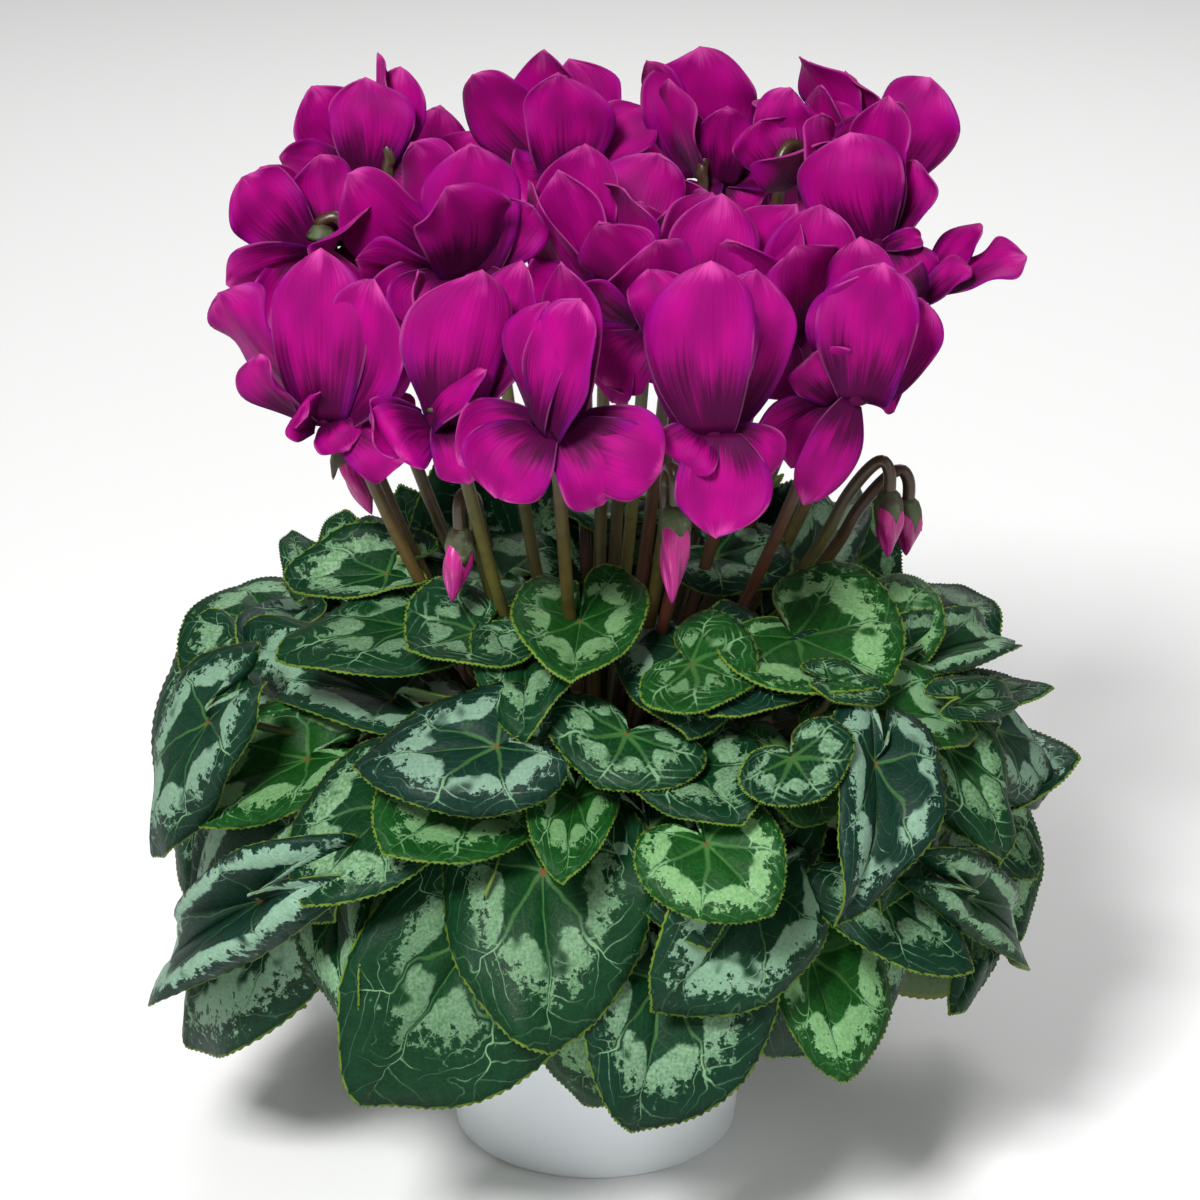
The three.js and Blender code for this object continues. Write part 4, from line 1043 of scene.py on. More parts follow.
def inner_leaves():
    """Leaves in rows deep inside the dome."""
    inner = []
    for row_number, row in enumerate(INNER_ROWS):
        for i in range(row["count"]):
            leaf = hidden_leaf(row, INNER_SEED + row_number, i, row["level"],
                               row["level"] + INNER_TILT)
            leaf.number = FIRST_INNER + 20 * row_number + i
            inner.append(leaf)
    return inner


def more_leaves():
    """Leaves of the seen side, at levels that were judged."""
    more = []
    for i, mark in enumerate(MORE_LEAVES):
        leaf = seen_leaf(mark[:5], mark[5], mark[5] - MORE_TILT)
        leaf.number = FIRST_MORE + i
        more.append(leaf)
    return more


def standing_leaves():
    """Leaves that stand upright, with their upper sides to the front."""
    standing = []
    for i, (notch, tip, width) in enumerate(STANDING_LEAVES):
        leaf = Leaf(np.array(notch, float), np.array(tip, float), None, width)
        leaf.out = unit(np.cross(leaf.along, (1.0, 0.15 * vary(i, 31), 0)))
        leaf.out *= -math.copysign(1, leaf.out[1])
        leaf.across = np.cross(leaf.out, leaf.along)
        leaf.number = FIRST_STANDING + i
        standing.append(leaf)
    return standing


leaves = laid_leaves + inner_leaves() + more_leaves() + standing_leaves()
for leaf in leaves:
    leaf.faces_view = leaf.number < FIRST_HIDDEN
print("leaves:", len(leaves))


# %% [markdown]
# ## Leaf blades
# A real blade is thin, folded a little along its midrib, dented along its veins and puffed between
# them, with a rim that waves, rolls and carries small round teeth. It could be cut from a plane by
# hand. As every blade has the same build, one pattern is made: a grid whose columns run from the
# notch to the outline and whose outer edge is divided further for the teeth. Each leaf is a copy,
# bent to its own outline and place by moving vertices.

# %% The blade pattern
BLADE_COLUMNS = 72
BLADE_ROWS = 8
TOOTH_CUTS = 2


def make_blade_pattern():
    """The pattern grid, with its outer edge divided for the teeth."""
    pattern = grid_pattern("blade_pattern", BLADE_COLUMNS, BLADE_ROWS, "polar")
    bpy.ops.object.mode_set(mode="EDIT")
    bpy.ops.mesh.select_all(action="DESELECT")
    bpy.ops.object.mode_set(mode="OBJECT")
    for edge in pattern.data.edges:
        edge.select = all(pattern.data.vertices[k].co.y > 0.999 for k in edge.vertices)
    bpy.ops.object.mode_set(mode="EDIT")
    bpy.ops.mesh.select_mode(type="EDGE")
    bpy.ops.mesh.subdivide(number_cuts=TOOTH_CUTS)
    bpy.ops.object.mode_set(mode="OBJECT")
    return pattern


blade_pattern = make_blade_pattern()
print("blade pattern faces:", len(blade_pattern.data.polygons))


# %% How a blade is folded and waved
# Heights in mm on a leaf of the usual length: the usual height and how far off it may be
FOLD = (6.5, 5)
ROLL_DOWN = (-4, -3.5)
ROLL_UP = (3.5, 3.0625)
WAVE = (4.2, 1.6)
WAVE_COUNT = (2.7, 0.8)
SECOND_WAVE = 1.8
LOBE_RISE = (4.0, 2.4)
LEAN = (0, 2.2)
PUFF = 1.3
VEIN_DENT = 0.45
VEIN_DENT_WIDTH = 1.3
FOLD_LIMIT = 0.75
FREE_LEVEL = 0.975


def blade_lift(leaf, turn, reach, v):
    """How far a blade stands off the dome, in millimetres, with its folds and waves."""
    seed = leaf.number
    size = leaf.length / USUAL_LENGTH
    vein_phase = turn / VEIN_STEP
    gap = np.abs(vein_phase - np.round(vein_phase)) * VEIN_STEP * 1.5 * leaf.length * reach
    dent = -VEIN_DENT * np.exp(-(gap / VEIN_DENT_WIDTH) ** 2) * np.clip(reach * 6, 0, 1)
    puff = PUFF * size * np.sin(np.pi * (vein_phase - np.floor(vein_phase))) ** 0.8
    puff = puff * reach * (1 - reach) * 3
    funnel = -leaf.funnel() * (1 - reach) ** 2
    fold = near(FOLD, seed, 3) * np.abs(v) ** 1.2 * min(size, FOLD_LIMIT)
    on_top = seed in BOWLS and min(leaf.levels) > FREE_LEVEL
    roll = near(ROLL_UP if on_top else ROLL_DOWN, seed, 5) * reach ** (3 if on_top else 4) * size
    count, start = near(WAVE_COUNT, seed, 6), 3 * vary(seed, 8)
    wave = near(WAVE, seed, 7) * size * reach ** 2.4 * np.sin(count * np.pi * turn + start)
    second = SECOND_WAVE * size * reach ** 4
    second = second * np.sin((2 * count + 1.5) * np.pi * turn + 3 * vary(seed, 10))
    lobes = near(LOBE_RISE, seed, 9) * size * np.clip((np.abs(turn) - 0.5) / 0.4, 0, 1) ** 2
    lean = near(LEAN, seed, 4) * v * size
    return dent + puff + funnel + fold + roll + wave + second + lobes * reach + lean


print("a usual fold is", FOLD[0], "mm high and a usual wave", WAVE[0], "mm")


# %% Make one blade
BLADE_THICKNESS = 0.6
TOOTH_LENGTH = 0.5
TOOTH_DIP = 0.2
# How much wider the half on one side of the midrib is
SKEWS = {9: 0.2, 10: 0.2, 11: 0.2}
USUAL_SKEW = (0, 0.09)
BOX_ROOM = 8.5
FLAT_SCALE = 10
FLAT_SHIFT = 0.37
SLATE, USUAL_SLATE = 0.85, (0.15, 0.15)
FRESH, USUAL_FRESH = 0.75, (0.12, 0.12)


def blade_grid(leaf):
    """Where the pattern's points lie: the turn round the outline, the reach, and u and v."""
    grid = places_of(blade_pattern)
    turn, reach = grid[:, 0] * OUTLINE_END, (grid[:, 1] + 1) / 2
    outline = half_leaf(np.abs(turn), FINE_HALF_LEAF)
    wider = SKEWS.get(leaf.number, near(USUAL_SKEW, leaf.number, 13))
    u = outline[:, 0] * reach
    v = outline[:, 1] * reach * np.sign(turn) * (1 + wider * np.sign(turn))
    rim_count = BLADE_COLUMNS * (TOOTH_CUTS + 1)
    odd = np.round((grid[:, 0] + 1) / 2 * rim_count).astype(int) % 2 == 1
    push = np.where(reach > 0.999, np.where(odd, TOOTH_LENGTH, -TOOTH_DIP), 0)
    size = np.maximum(np.hypot(u * leaf.length, v * leaf.width / 2), 1e-6)
    grown = 1 + push / size
    return turn, reach, u * grown, v * grown


def kept_in_box(leaf, places):
    """Moves a turned blade back to the box of the solids, give or take a little room."""
    low, high = np.array(CAD_BOX[0]) / MM - BOX_ROOM, np.array(CAD_BOX[1]) / MM + BOX_ROOM
    leaf.shift = (-np.minimum(places.min(axis=0) - low, 0)
                  - np.maximum(places.max(axis=0) - high, 0))
    return places + leaf.shift


def make_blade(leaf):
    """A copy of the pattern, bent to one leaf's outline, folds and place."""
    piece = copy_of(blade_pattern, f"blade_{leaf.number}")
    turn, reach, u, v = blade_grid(leaf)
    places = leaf.place(u, v)
    lift = blade_lift(leaf, turn, reach, v)
    away = unit(places - dome_centre) * 0.5 + leaf.out * 0.5
    places = places + (leaf.out if leaf.levels is None else away) * lift[:, None]
    if leaf.faces_view:
        places = kept_in_box(leaf, leaf.turned(places))
    set_places(piece, places * MM)
    flat = piece.data.uv_layers.new(name="flat")
    corners = np.zeros(len(piece.data.loops), int)
    piece.data.loops.foreach_get("vertex_index", corners)
    spots = np.stack([u * leaf.length, v * leaf.width / 2], axis=1) * MM * FLAT_SCALE
    spots = spots + FLAT_SHIFT * leaf.number
    flat.data.foreach_set("uv", spots[corners].astype(np.float32).ravel())
    slate = SLATE if leaf.number in SLATE_LEAVES else near(USUAL_SLATE, leaf.number, 11)
    fresh = FRESH if leaf.number in FRESH_LEAVES else near(USUAL_FRESH, leaf.number, 12)
    add_numbers(piece, "leaf_length", leaf.length * MM)
    add_numbers(piece, "leaf_slate", slate)
    add_numbers(piece, "leaf_fresh", fresh)
    add_numbers(piece, "leaf_silver", vary(leaf.number, 14))
    return piece


print("slate blades:", len(SLATE_LEAVES), "fresh blades:", len(FRESH_LEAVES))


# %% [markdown]
# ## Round stems
# Stalks and petioles are bent rods that thin out towards their ends. A curve with a round bevel is
# the simplest way: its points carry a radius, and it becomes a mesh when it is finished.

# %% Rods along a smooth line
def smooth_line(points, radii, steps):
    """A finer line through points, with the radius at each of its points."""
    points, radii = np.array(points, float), np.array(radii, float)[:, None]
    rows = np.hstack([points, radii])
    last = len(rows) - 1
    finer = []
    for start in range(last):
        nearest = [rows[min(max(start + k, 0), last)] for k in (-1, 0, 1, 2)]
        finer += [between(*nearest, step) for step in np.arange(steps) / steps]
    finer.append(rows[last])
    finer = np.array(finer)
    return finer[:, :3], finer[:, 3]


def make_rod(name, points, radii, material, steps=4, resolution=2):
    """A round rod along a smooth line through points in millimetres."""
    line, sizes = smooth_line(points, radii, steps)
    curve = bpy.data.curves.new(name, "CURVE")
    curve.dimensions = "3D"
    curve.bevel_depth = 1.0
    curve.bevel_resolution = resolution
    curve.use_fill_caps = True
    spline = curve.splines.new("POLY")
    spline.points.add(len(line) - 1)
    spline.points.foreach_set("co", np.hstack([line * MM, np.ones((len(line), 1))]).ravel())
    spline.points.foreach_set("radius", sizes * MM)
    rod = bpy.data.objects.new(name, curve)
    bpy.context.scene.collection.objects.link(rod)
    choose(rod)
    bpy.ops.object.convert(target="MESH")
    rod = bpy.context.object
    rod.data.materials.clear()
    rod.data.materials.append(material)
    bpy.ops.object.shade_smooth()
    return rod


# %% [markdown]
# ## Stalks
# Each bloom and bud hangs from one bare stalk that rises from the tuber's crown and bends over in a
# small hook. The feet stand apart in the crown, so they are spread before the lines are drawn.

# %% Marks of the blooms and buds
# Blooms in photo pixels: x, y and depth in mm of the mouth, then for each petal the tip's x and y,
# its depth beyond the mouth in mm and the width that shows
BLOOM_MARKS = {
    "front_left": ((325, 422, -45), [
        (320, 248, -6, 88), (364, 283, -14, 64), (218, 292, 10, 24), (256, 358, -12, 30)]),
    "front_inner_left": ((440, 427, -85), [
        (482, 270, -6, 94), (412, 271, 6, 22), (516, 259, 16, 70), (488, 372, -8, 34),
        (368, 440, -14, 58)]),
    "front_middle": ((552, 433, -100), [
        (580, 298, -10, 62), (546, 300, -2, 40), (563, 260, 14, 50), (662, 472, -14, 84),
        (458, 465, -12, 68)]),
    "inner_middle": ((655, 338, -60), [
        (648, 268, -2, 56), (612, 404, -10, 58), (690, 416, -6, 18)]),
    "front_inner_right": ((713, 434, -95), [
        (714, 266, -6, 100), (663, 350, 4, 20), (716, 538, -12, 86), (776, 480, -4, 38)]),
    "front_right": ((852, 402, -55), [
        (885, 268, -6, 94), (852, 240, 12, 60), (730, 475, -10, 44), (803, 505, -14, 48),
        (894, 412, 4, 34)]),
    "inner_right": ((790, 345, -30), [(821, 206, -4, 82), (855, 294, 8, 30)]),
    "centre_right": ((690, 335, -35), [(722, 193, -2, 82), (792, 202, 8, 40)]),
    "middle_left": ((465, 277, -15), [
        (350, 181, -4, 72), (470, 143, 0, 88), (413, 139, 12, 50), (356, 262, -8, 26)]),
    "centre_left": ((605, 300, -10), [
        (585, 143, 4, 76), (556, 170, -6, 58), (526, 180, 8, 48)]),
    "centre": ((645, 262, 20), [(668, 168, 0, 74), (692, 208, -4, 40)]),
    "outer_left": ((322, 255, 5), [
        (244, 180, -4, 70), (262, 169, 6, 58), (320, 157, 8, 58), (226, 290, -6, 38)]),
    "middle_right": ((875, 248, 10), [
        (850, 131, -4, 94), (885, 97, 10, 60), (913, 160, 4, 38), (915, 240, -2, 20)]),
    "outer_right": ((918, 300, 5), [(985, 226, 4, 34), (1021, 247, 0, 32), (971, 262, -6, 30)]),
    "back_left": ((370, 173, 60), [
        (315, 92, 0, 66), (365, 76, -2, 76), (397, 68, 8, 50), (281, 155, -4, 42),
        (375, 53, 14, 20)]),
    "back_middle": ((575, 185, 75), [
        (473, 72, 0, 66), (547, 46, 8, 56), (558, 72, -6, 80), (645, 105, 4, 44)]),
    "back_inner_right": ((715, 185, 70), [
        (700, 54, -2, 104), (645, 62, 6, 46), (670, 78, -6, 16), (728, 106, -10, 52),
        (796, 152, -6, 38)]),
    "back_outer_right": ((800, 180, 50), [(790, 92, 0, 52)]),
    "back_right": ((868, 190, 65), [
        (803, 52, 6, 34), (825, 82, -2, 44), (848, 67, 4, 40), (930, 78, -4, 76)]),
}

# Blooms on the hidden side: the mouth in mm
HIDDEN_BLOOMS = {
    "rear_left": (-66, 92, 276),
    "rear_middle": (-4, 116, 272),
    "rear_right": (66, 96, 278),
}

# Buds in photo pixels: x, y and depth in mm of the calyx, then of the hanging tip
BUD_MARKS = {
    "bud_front_left": ((460, 535, -62), (452, 603, -66)),
    "bud_front_middle": ((675, 512, -52), (672, 603, -58)),
    "bud_right_inner": ((889, 497, -22), (888, 558, -26)),
    "bud_right_outer": ((908, 505, -4), (906, 556, -8)),
    "bud_left": ((345, 450, -24), (372, 515, -30)),
}
print("blooms:", len(BLOOM_MARKS) + len(HIDDEN_BLOOMS), "buds:", len(BUD_MARKS))


# %% Spread the feet of the stalks
STALK_RING = 15.5
STALK_SPACING = 4.6
FOOT_SHARE = 0.13
SPREAD_PASSES = 200


def spread_feet(tops):
    """Places in the crown, under the tops but a stalk's width apart."""
    feet = [np.array(top[:2]) * FOOT_SHARE for top in tops]
    for _ in range(SPREAD_PASSES):
        for i, foot in enumerate(feet):
            for other in feet[i + 1:]:
                apart = other - foot
                distance = float(np.linalg.norm(apart))
                missing = STALK_SPACING - distance
                if missing <= 0:
                    continue
                apart = apart / distance * missing / 2
                other += apart
                foot -= apart
            length = float(np.linalg.norm(foot))
            if length > STALK_RING:
                foot *= STALK_RING / length
    return feet


print("feet stand within", STALK_RING, "mm of the crown's middle")


# %% Lines of the stalks
CROWN_HEIGHT = 108
ROOT_DEPTH = 8
STALK_RADIUS = 2.1
STALK_FOOT_RADIUS = 1.6
HOOK_REACH = 9.5
HOOK_RISE = 12.5
HOOK_DROP = 6
MIDDLE_REACH = 12
# A hook's points: shares of its reach and heights over its end
HOOK = ((1, -HOOK_DROP), (0.95, 7), (0.5, HOOK_RISE), (0, 11))
WIDE_HOOK = ((1, -16), (0.68, -2), (0.36, 8), (0.12, 12), (0, 8))
WIDE_REACH = {"bud_right_inner": 21, "bud_right_outer": 24}
# Buds that hang nearer to the viewer than their solid does, so that no stalk hides them, in mm
BUD_FORWARD = {"bud_front_middle": 28}


def stalk_line(foot, end, hook=HOOK, hook_reach=HOOK_REACH):
    """Up from the crown, apart from the others all the way, and over in a hook to its end."""
    inward = np.array([-end[0], -end[1], 0.0])
    if np.linalg.norm(inward) < MIDDLE_REACH:
        inward = np.array([0.0, 1.0, 0.0])
    inward = unit(inward)
    neck = end + inward * hook_reach
    start = np.array([foot[0], foot[1], CROWN_HEIGHT])
    points = [start - (0, 0, ROOT_DEPTH), start + (0, 0, 2)]
    for rise, spread in ((0.12, 0.05), (0.36, 0.36), (0.66, 0.7)):
        point = start + (neck - start) * spread
        point[2] = CROWN_HEIGHT + (neck[2] - HOOK_DROP - CROWN_HEIGHT) * rise
        points.append(point)
    for reach, rise in hook:
        point = end + inward * reach * hook_reach
        point[2] = end[2] + rise
        points.append(point)
    return points


blooms = []
for name, (mouth, seen) in BLOOM_MARKS.items():
    blooms.append((name, at_depth(*mouth), seen))
for name, mouth in HIDDEN_BLOOMS.items():
    blooms.append((name, np.array(mouth, float), []))
buds = [(name, at_depth(*calyx), at_depth(*tip)) for name, (calyx, tip) in BUD_MARKS.items()]
feet = spread_feet([mouth for _, mouth, _ in blooms] + [calyx for _, calyx, _ in buds])
stalk_lines = [stalk_line(foot, mouth) for foot, (_, mouth, _) in zip(feet, blooms)]
for i, (name, calyx, tip) in enumerate(buds):
    nearer = -unit(calyx - eye) * BUD_FORWARD.get(name, 0)
    buds[i] = (name, calyx + nearer, tip + nearer)
for foot, (name, calyx, _) in zip(feet[len(blooms):], buds):
    if name in WIDE_REACH:
        stalk_lines.append(stalk_line(foot, calyx, WIDE_HOOK, WIDE_REACH[name]))
    else:
        stalk_lines.append(stalk_line(foot, calyx))
print("stalks:", len(stalk_lines))


# %% [markdown]
# ## Leaf sprays
# Every blade has its petiole, a bent stem that runs under it and down over the pot's rim to the
# tuber. A straight rod would run through stalks and blades. Each petiole is therefore tried with
# several side swerves and rises, and the one that meets the fewest other pieces is kept.

# %% A petiole's line
PETIOLE_RADIUS = 1.4
STUB_RING = 23.5
STUB_RADIUS = 4
STUB_RISE = 10
RIM_CLEARANCE = 20
RIM_SHARE = 0.36
HIGHEST_ARCH = 30
UNDER_BLADE = 14
SWERVES = [3 * (i - 9) for i in range(19)]
LIFTS = [0.52, 0.3, 0.75, 0.15]
CLASH_COST = 10
SWERVE_COST = 1 / 40
CLEAR_ROOM = STALK_RADIUS + PETIOLE_RADIUS + 0.5
PETIOLE_ROOM = 2.2 * PETIOLE_RADIUS


def spray_of(leaf):
    """The number of the eighth of the round that a leaf grows in."""
    share = math.atan2(leaf.notch[1], leaf.notch[0]) / (2 * math.pi) + 1
    return math.floor((share % 1) * SPRAY_COUNT)


def petiole_line(leaf, stub, swerve, lift):
    """From the notch down over the pot's rim to the stub, moved sideways by a swerve."""
    end = leaf.turned(leaf.place(0.0, 0.0) - leaf.out * (leaf.funnel() + 1)) + leaf.shift
    rise = end[2] - stub[2]
    sideways = unit(np.array([-(end[1] - stub[1]), end[0] - stub[0], 0]))
    over_rim = stub + (end - stub) * RIM_SHARE + sideways * swerve
    over_rim[2] = stub[2] + max(RIM_CLEARANCE, lift * rise)
    under = end - leaf.out * UNDER_BLADE + sideways * swerve / 2
    if rise < 0:
        under[2] = max(under[2], min(stub[2] + RIM_CLEARANCE, end[2] + HIGHEST_ARCH))
    return [end, under, over_rim, stub]


print("most tries for a petiole:", len(SWERVES) * len(LIFTS))


# %% Keep the petioles clear
placed_lines = []


def points_along(line):
    """Points at even steps on every stretch of a line."""
    steps = np.arange(0, 1, 0.125)[:, None]
    return np.concatenate([a + (b - a) * steps for a, b in zip(line, line[1:])])


def lines_near(points, lines, room):
    """How many lines come nearer to a row of points than some room."""
    if not lines:
        return 0
    starts = np.concatenate([line[:-1] for line in lines])
    along = np.concatenate([line[1:] for line in lines]) - starts
    offset = points[:, None] - starts
    share = np.clip((offset * along).sum(2) / (along ** 2).sum(1), 0, 1)
    gaps = np.linalg.norm(offset - along * share[..., None], axis=2).min(axis=0)
    firsts = np.cumsum([0] + [len(line) - 1 for line in lines[:-1]])
    return int((np.minimum.reduceat(gaps, firsts) < room).sum())


def blades_crossed(points, own):
    """How many other leaves' blades a row of points goes through."""
    total = 0
    levels = dome_level(points)
    for leaf in laid_leaves:
        if leaf is own:
            continue
        share = leaf.share_under(points)
        side = np.where(np.isnan(share), 0, np.sign(levels - leaf.level(np.nan_to_num(share))))
        total += int((side[1:] * side[:-1] < 0).sum())
    return total


def clear_petiole(leaf, stub, own_lines):
    """The line that keeps clear of every stalk and goes through the fewest blades."""
    best, least = None, math.inf
    for lift in LIFTS:
        if least < CLASH_COST:
            break
        for swerve in SWERVES:
            line = petiole_line(leaf, stub, swerve, lift)
            points = points_along(line)
            cost = CLASH_COST * lines_near(points, stalk_lines + placed_lines, CLEAR_ROOM)
            cost += lines_near(points_along(line[:3]), [other[:3] for other in own_lines],
                               PETIOLE_ROOM)
            cost += blades_crossed(points, leaf) + abs(swerve) * SWERVE_COST
            if cost < least:
                best, least = line, cost
    return best


print("stalks to keep clear of:", len(stalk_lines))


# %% Make the sprays
def make_spray(number):
    """The blades of one eighth of the round, and their petioles with the stub."""
    azimuth = (number + 0.5) / SPRAY_COUNT * 2 * math.pi
    stub = np.array([STUB_RING * math.cos(azimuth), STUB_RING * math.sin(azimuth), CROWN_HEIGHT])
    own = sorted((leaf for leaf in leaves if spray_of(leaf) == number),
                 key=lambda leaf: leaf.notch[2])
    blades = joined([make_blade(leaf) for leaf in own], f"spray_{number + 1}_blades")
    weld(blades, flip=True)
    blades.data.materials.append(leaf_material)
    blades.data.materials.append(leaf_under_material)
    thicken(blades, BLADE_THICKNESS, -1, material_step=1)
    rods = [make_rod("stub", [stub - (0, 0, ROOT_DEPTH), stub, stub + (0, 0, STUB_RISE)],
                     [STUB_RADIUS] * 3, petiole_material)]
    lines = []
    laid = [leaf for leaf in own if leaf in laid_leaves]
    for i, leaf in enumerate(laid):
        start = stub + (0, 0, 1 + (STUB_RISE - 2) * i / len(laid))
        lines.append(clear_petiole(leaf, start, lines))
    lines += [petiole_line(leaf, stub + (0, 0, 2), 0, LIFTS[0]) for leaf in own
              if leaf not in laid_leaves]
    rods += [make_rod("petiole", line, [PETIOLE_RADIUS] * len(line), petiole_material, 6, 1)
             for line in lines]
    placed_lines.extend(lines)
    petioles = joined(rods, f"spray_{number + 1}_petioles")
    for piece in (blades, petioles):
        stand_in(piece, f"leaf_spray_{number + 1}")
    return blades, petioles


sprays = [make_spray(number) for number in range(SPRAY_COUNT)]
print("blade triangles:", sum(len(blades.data.loop_triangles) for blades, _ in sprays))


# %% [markdown]
# ## Petals
# A corolla hangs mouth down, and its five petals are swept back and up from the mouth's rim, each
# with its own twist. Cloth tools could bend them, but a petal is stiff and has its own growth
# curve. One pattern grid is therefore bent along each petal's spine, with a rounded tip, a cupped
# middle, waved sides and lengthwise ripples, and then it is given its thickness.

# %% The directions of a petal
TUBE_RADIUS = 5.2
TUBE_HEIGHT = 6.5
CLAW_ANGLES = [math.radians(angle) for angle in (-125, -62, 0, 62, 125)]
CLAW_SPREAD = CLAW_ANGLES[-1] - CLAW_ANGLES[0]
PETAL_LENGTH = (1, 0.1)
USUAL_PETAL = 52
PETAL_WIDTH = 27
PETAL_LEAN = (26, 4)
PETAL_BULGE = 7
PETAL_LIFT = 4
PINWHEEL = math.radians(38)
HIDDEN_DROP = 8
HIDDEN_RISE = 24
NARROWEST = 0.5


def turned_about(vector, axis, angle):
    """A vector turned about an axis of length 1."""
    return (vector * math.cos(angle) + np.cross(axis, vector) * math.sin(angle)
            + axis * np.dot(axis, vector) * (1 - math.cos(angle)))


def seen_across(claw, tip, shown):
    """The direction across a petal, turned from the view as far as its width falls short."""
    along = unit(tip - claw)
    across = unit(np.cross(along, unit(tip - eye)))
    facing = np.cross(across, along)
    turn = math.acos(min(shown, 1))
    return across * math.cos(turn) + facing * math.sin(turn)


print("petals of a whole corolla:", len(CLAW_ANGLES))


# %% Petals that fill a bloom
# Petals that fill the blooms between those of the solids: the tip's x and y in photo pixels, its
# depth beyond the mouth in mm and the width that shows
MORE_PETALS = {
    "front_left": [(392, 326, -10, 66), (300, 412, -12, 50), (404, 462, -16, 84),
                   (346, 446, -10, 60)],
    "front_inner_left": [(396, 456, -16, 70), (470, 486, -14, 70)],
    "front_middle": [(494, 500, -12, 84), (604, 508, -14, 92)],
    "inner_middle": [(604, 386, -12, 88), (690, 300, 6, 60)],
    "front_inner_right": [(680, 470, -10, 60), (711, 262, -12, 98)],
    "front_right": [(812, 352, -10, 62), (884, 262, -11, 90), (920, 300, 2, 80),
                    (790, 470, -8, 60)],
    "inner_right": [(762, 400, -12, 70), (838, 386, -10, 64), (770, 250, 6, 70)],
    "centre_right": [(640, 380, -10, 64), (740, 390, -8, 66)],
    "middle_left": [(432, 342, -14, 84), (380, 330, -12, 70), (510, 330, -8, 60),
                    (534, 204, -2, 66)],
    "centre_left": [(520, 292, -12, 84), (600, 380, -10, 70), (640, 200, 6, 60)],
    "centre": [(700, 280, -12, 74), (610, 200, 8, 60)],
    "outer_left": [(270, 330, -10, 70), (370, 300, -8, 60)],
    "middle_right": [(840, 320, -12, 70), (905, 300, -8, 50)],
    "back_left": [(330, 210, -10, 70), (420, 200, -8, 60)],
    "back_middle": [(520, 200, -12, 76), (600, 230, -8, 60)],
    "back_inner_right": [(690, 250, -10, 70), (755, 210, -6, 60)],
    "back_outer_right": [(760, 120, 0, 60), (830, 230, -8, 60)],
    "back_right": [(880, 250, -10, 60), (905, 170, 4, 56)],
}
print("petals that fill:", sum(len(petals) for petals in MORE_PETALS.values()))


# %% The places of a bloom's petals
def petals_of(mouth, seen, seed, least=len(CLAW_ANGLES)):
    """The petals of a bloom: those seen, then as many as it lacks of the least number."""
    outward = math.atan2(mouth[1], mouth[0])

    def bearing(tip):
        turn = math.atan2(tip[1] - mouth[1], tip[0] - mouth[0]) - outward
        return math.atan2(math.sin(turn), math.cos(turn))

    petals = []
    for x, y, beyond, seen_width in seen:
        tip = at_depth(x, y, mouth[1] + beyond)
        shown_width = seen_width * millimetres_per_pixel(tip)
        length = float(np.linalg.norm(tip - mouth))
        width = max(shown_width, min(NARROWEST * length, PETAL_WIDTH))
        petals.append({"tip": tip, "width": width, "shown": shown_width / width,
                       "bearing": bearing(tip)})
    highest = USUAL_PETAL + HIDDEN_DROP
    if petals:
        highest = max([HIDDEN_RISE, *(float(petal["tip"][2] - mouth[2]) for petal in petals)])
    while len(petals) < least:
        taken = [petal["bearing"] for petal in petals]

        def room(angle):
            return min([9, *(abs(angle - other) for other in taken)])

        free = max(CLAW_ANGLES, key=room)
        turn = outward + free
        lean = near(PETAL_LEAN, seed, len(petals))
        rise = min(USUAL_PETAL * near(PETAL_LENGTH, seed, len(petals), 1),
                   highest - HIDDEN_DROP)
        tip = mouth + np.array([lean * math.cos(turn), lean * math.sin(turn), rise])
        petals.append({"tip": tip, "width": PETAL_WIDTH, "shown": None, "bearing": free})
    petals.sort(key=lambda petal: petal["bearing"])
    spread = CLAW_SPREAD / max(len(petals) - 1, 1)
    for k, petal in enumerate(petals):
        turn = outward - CLAW_SPREAD / 2 + spread * k if least else outward + petal["bearing"]
        radial = np.array([math.cos(turn), math.sin(turn), 0])
        claw = mouth + radial * (TUBE_RADIUS - 0.6)
        claw[2] = mouth[2] + 1.5
        along = unit(petal["tip"] - claw)
        if petal["shown"]:
            across = seen_across(claw, petal["tip"], petal["shown"])
        else:
            across = unit(turned_about(np.cross(along, radial), along, PINWHEEL))
        bulge = radial * PETAL_BULGE + (0, 0, PETAL_LIFT)
        petal.update(claw=claw, across=across, bulge=bulge)
    return petals


first_petals = petals_of(blooms[0][1], blooms[0][2], 0)
print("widths in the first bloom, in mm:", [round(petal["width"]) for petal in first_petals])


# %% The petal pattern
PETAL_COLUMNS = 14
PETAL_ROWS = 22

petal_pattern = grid_pattern("petal_pattern", PETAL_COLUMNS, PETAL_ROWS, "petal")
print("petal pattern faces:", len(petal_pattern.data.polygons))


# %% Shape one petal
PETAL_THICKNESS = 0.5
PETAL_GROWTH = 1.14
# Shares of the width, angles and heights in mm: the usual one and how far off it may be
BOWING = (0, 0.15)
LOPSIDED = (0, 0.3)
TWIST = (0, math.radians(34))
CUP = (-1.4, -2.4)
WAVE_HEIGHT = 4.2
PETAL_WAVES = (2.2, 1)
SIDE_CURL = 8
TIP_CURL = (1, 3.5)
RIPPLE = 0.12
CREASE = 0.7


def petal_spread(share, pointed):
    """The share of its half width that a petal has at each share of its length."""
    body = 0.42 + 0.58 * np.sin(np.pi * (0.9 * share) ** 1.1) ** 0.8
    near_tip = np.clip((share - 0.66) / 0.34, 0, 1)
    return body * np.clip(1 - near_tip ** (2.4 - 0.5 * pointed), 0, 1) ** (0.5 + 0.08 * pointed)


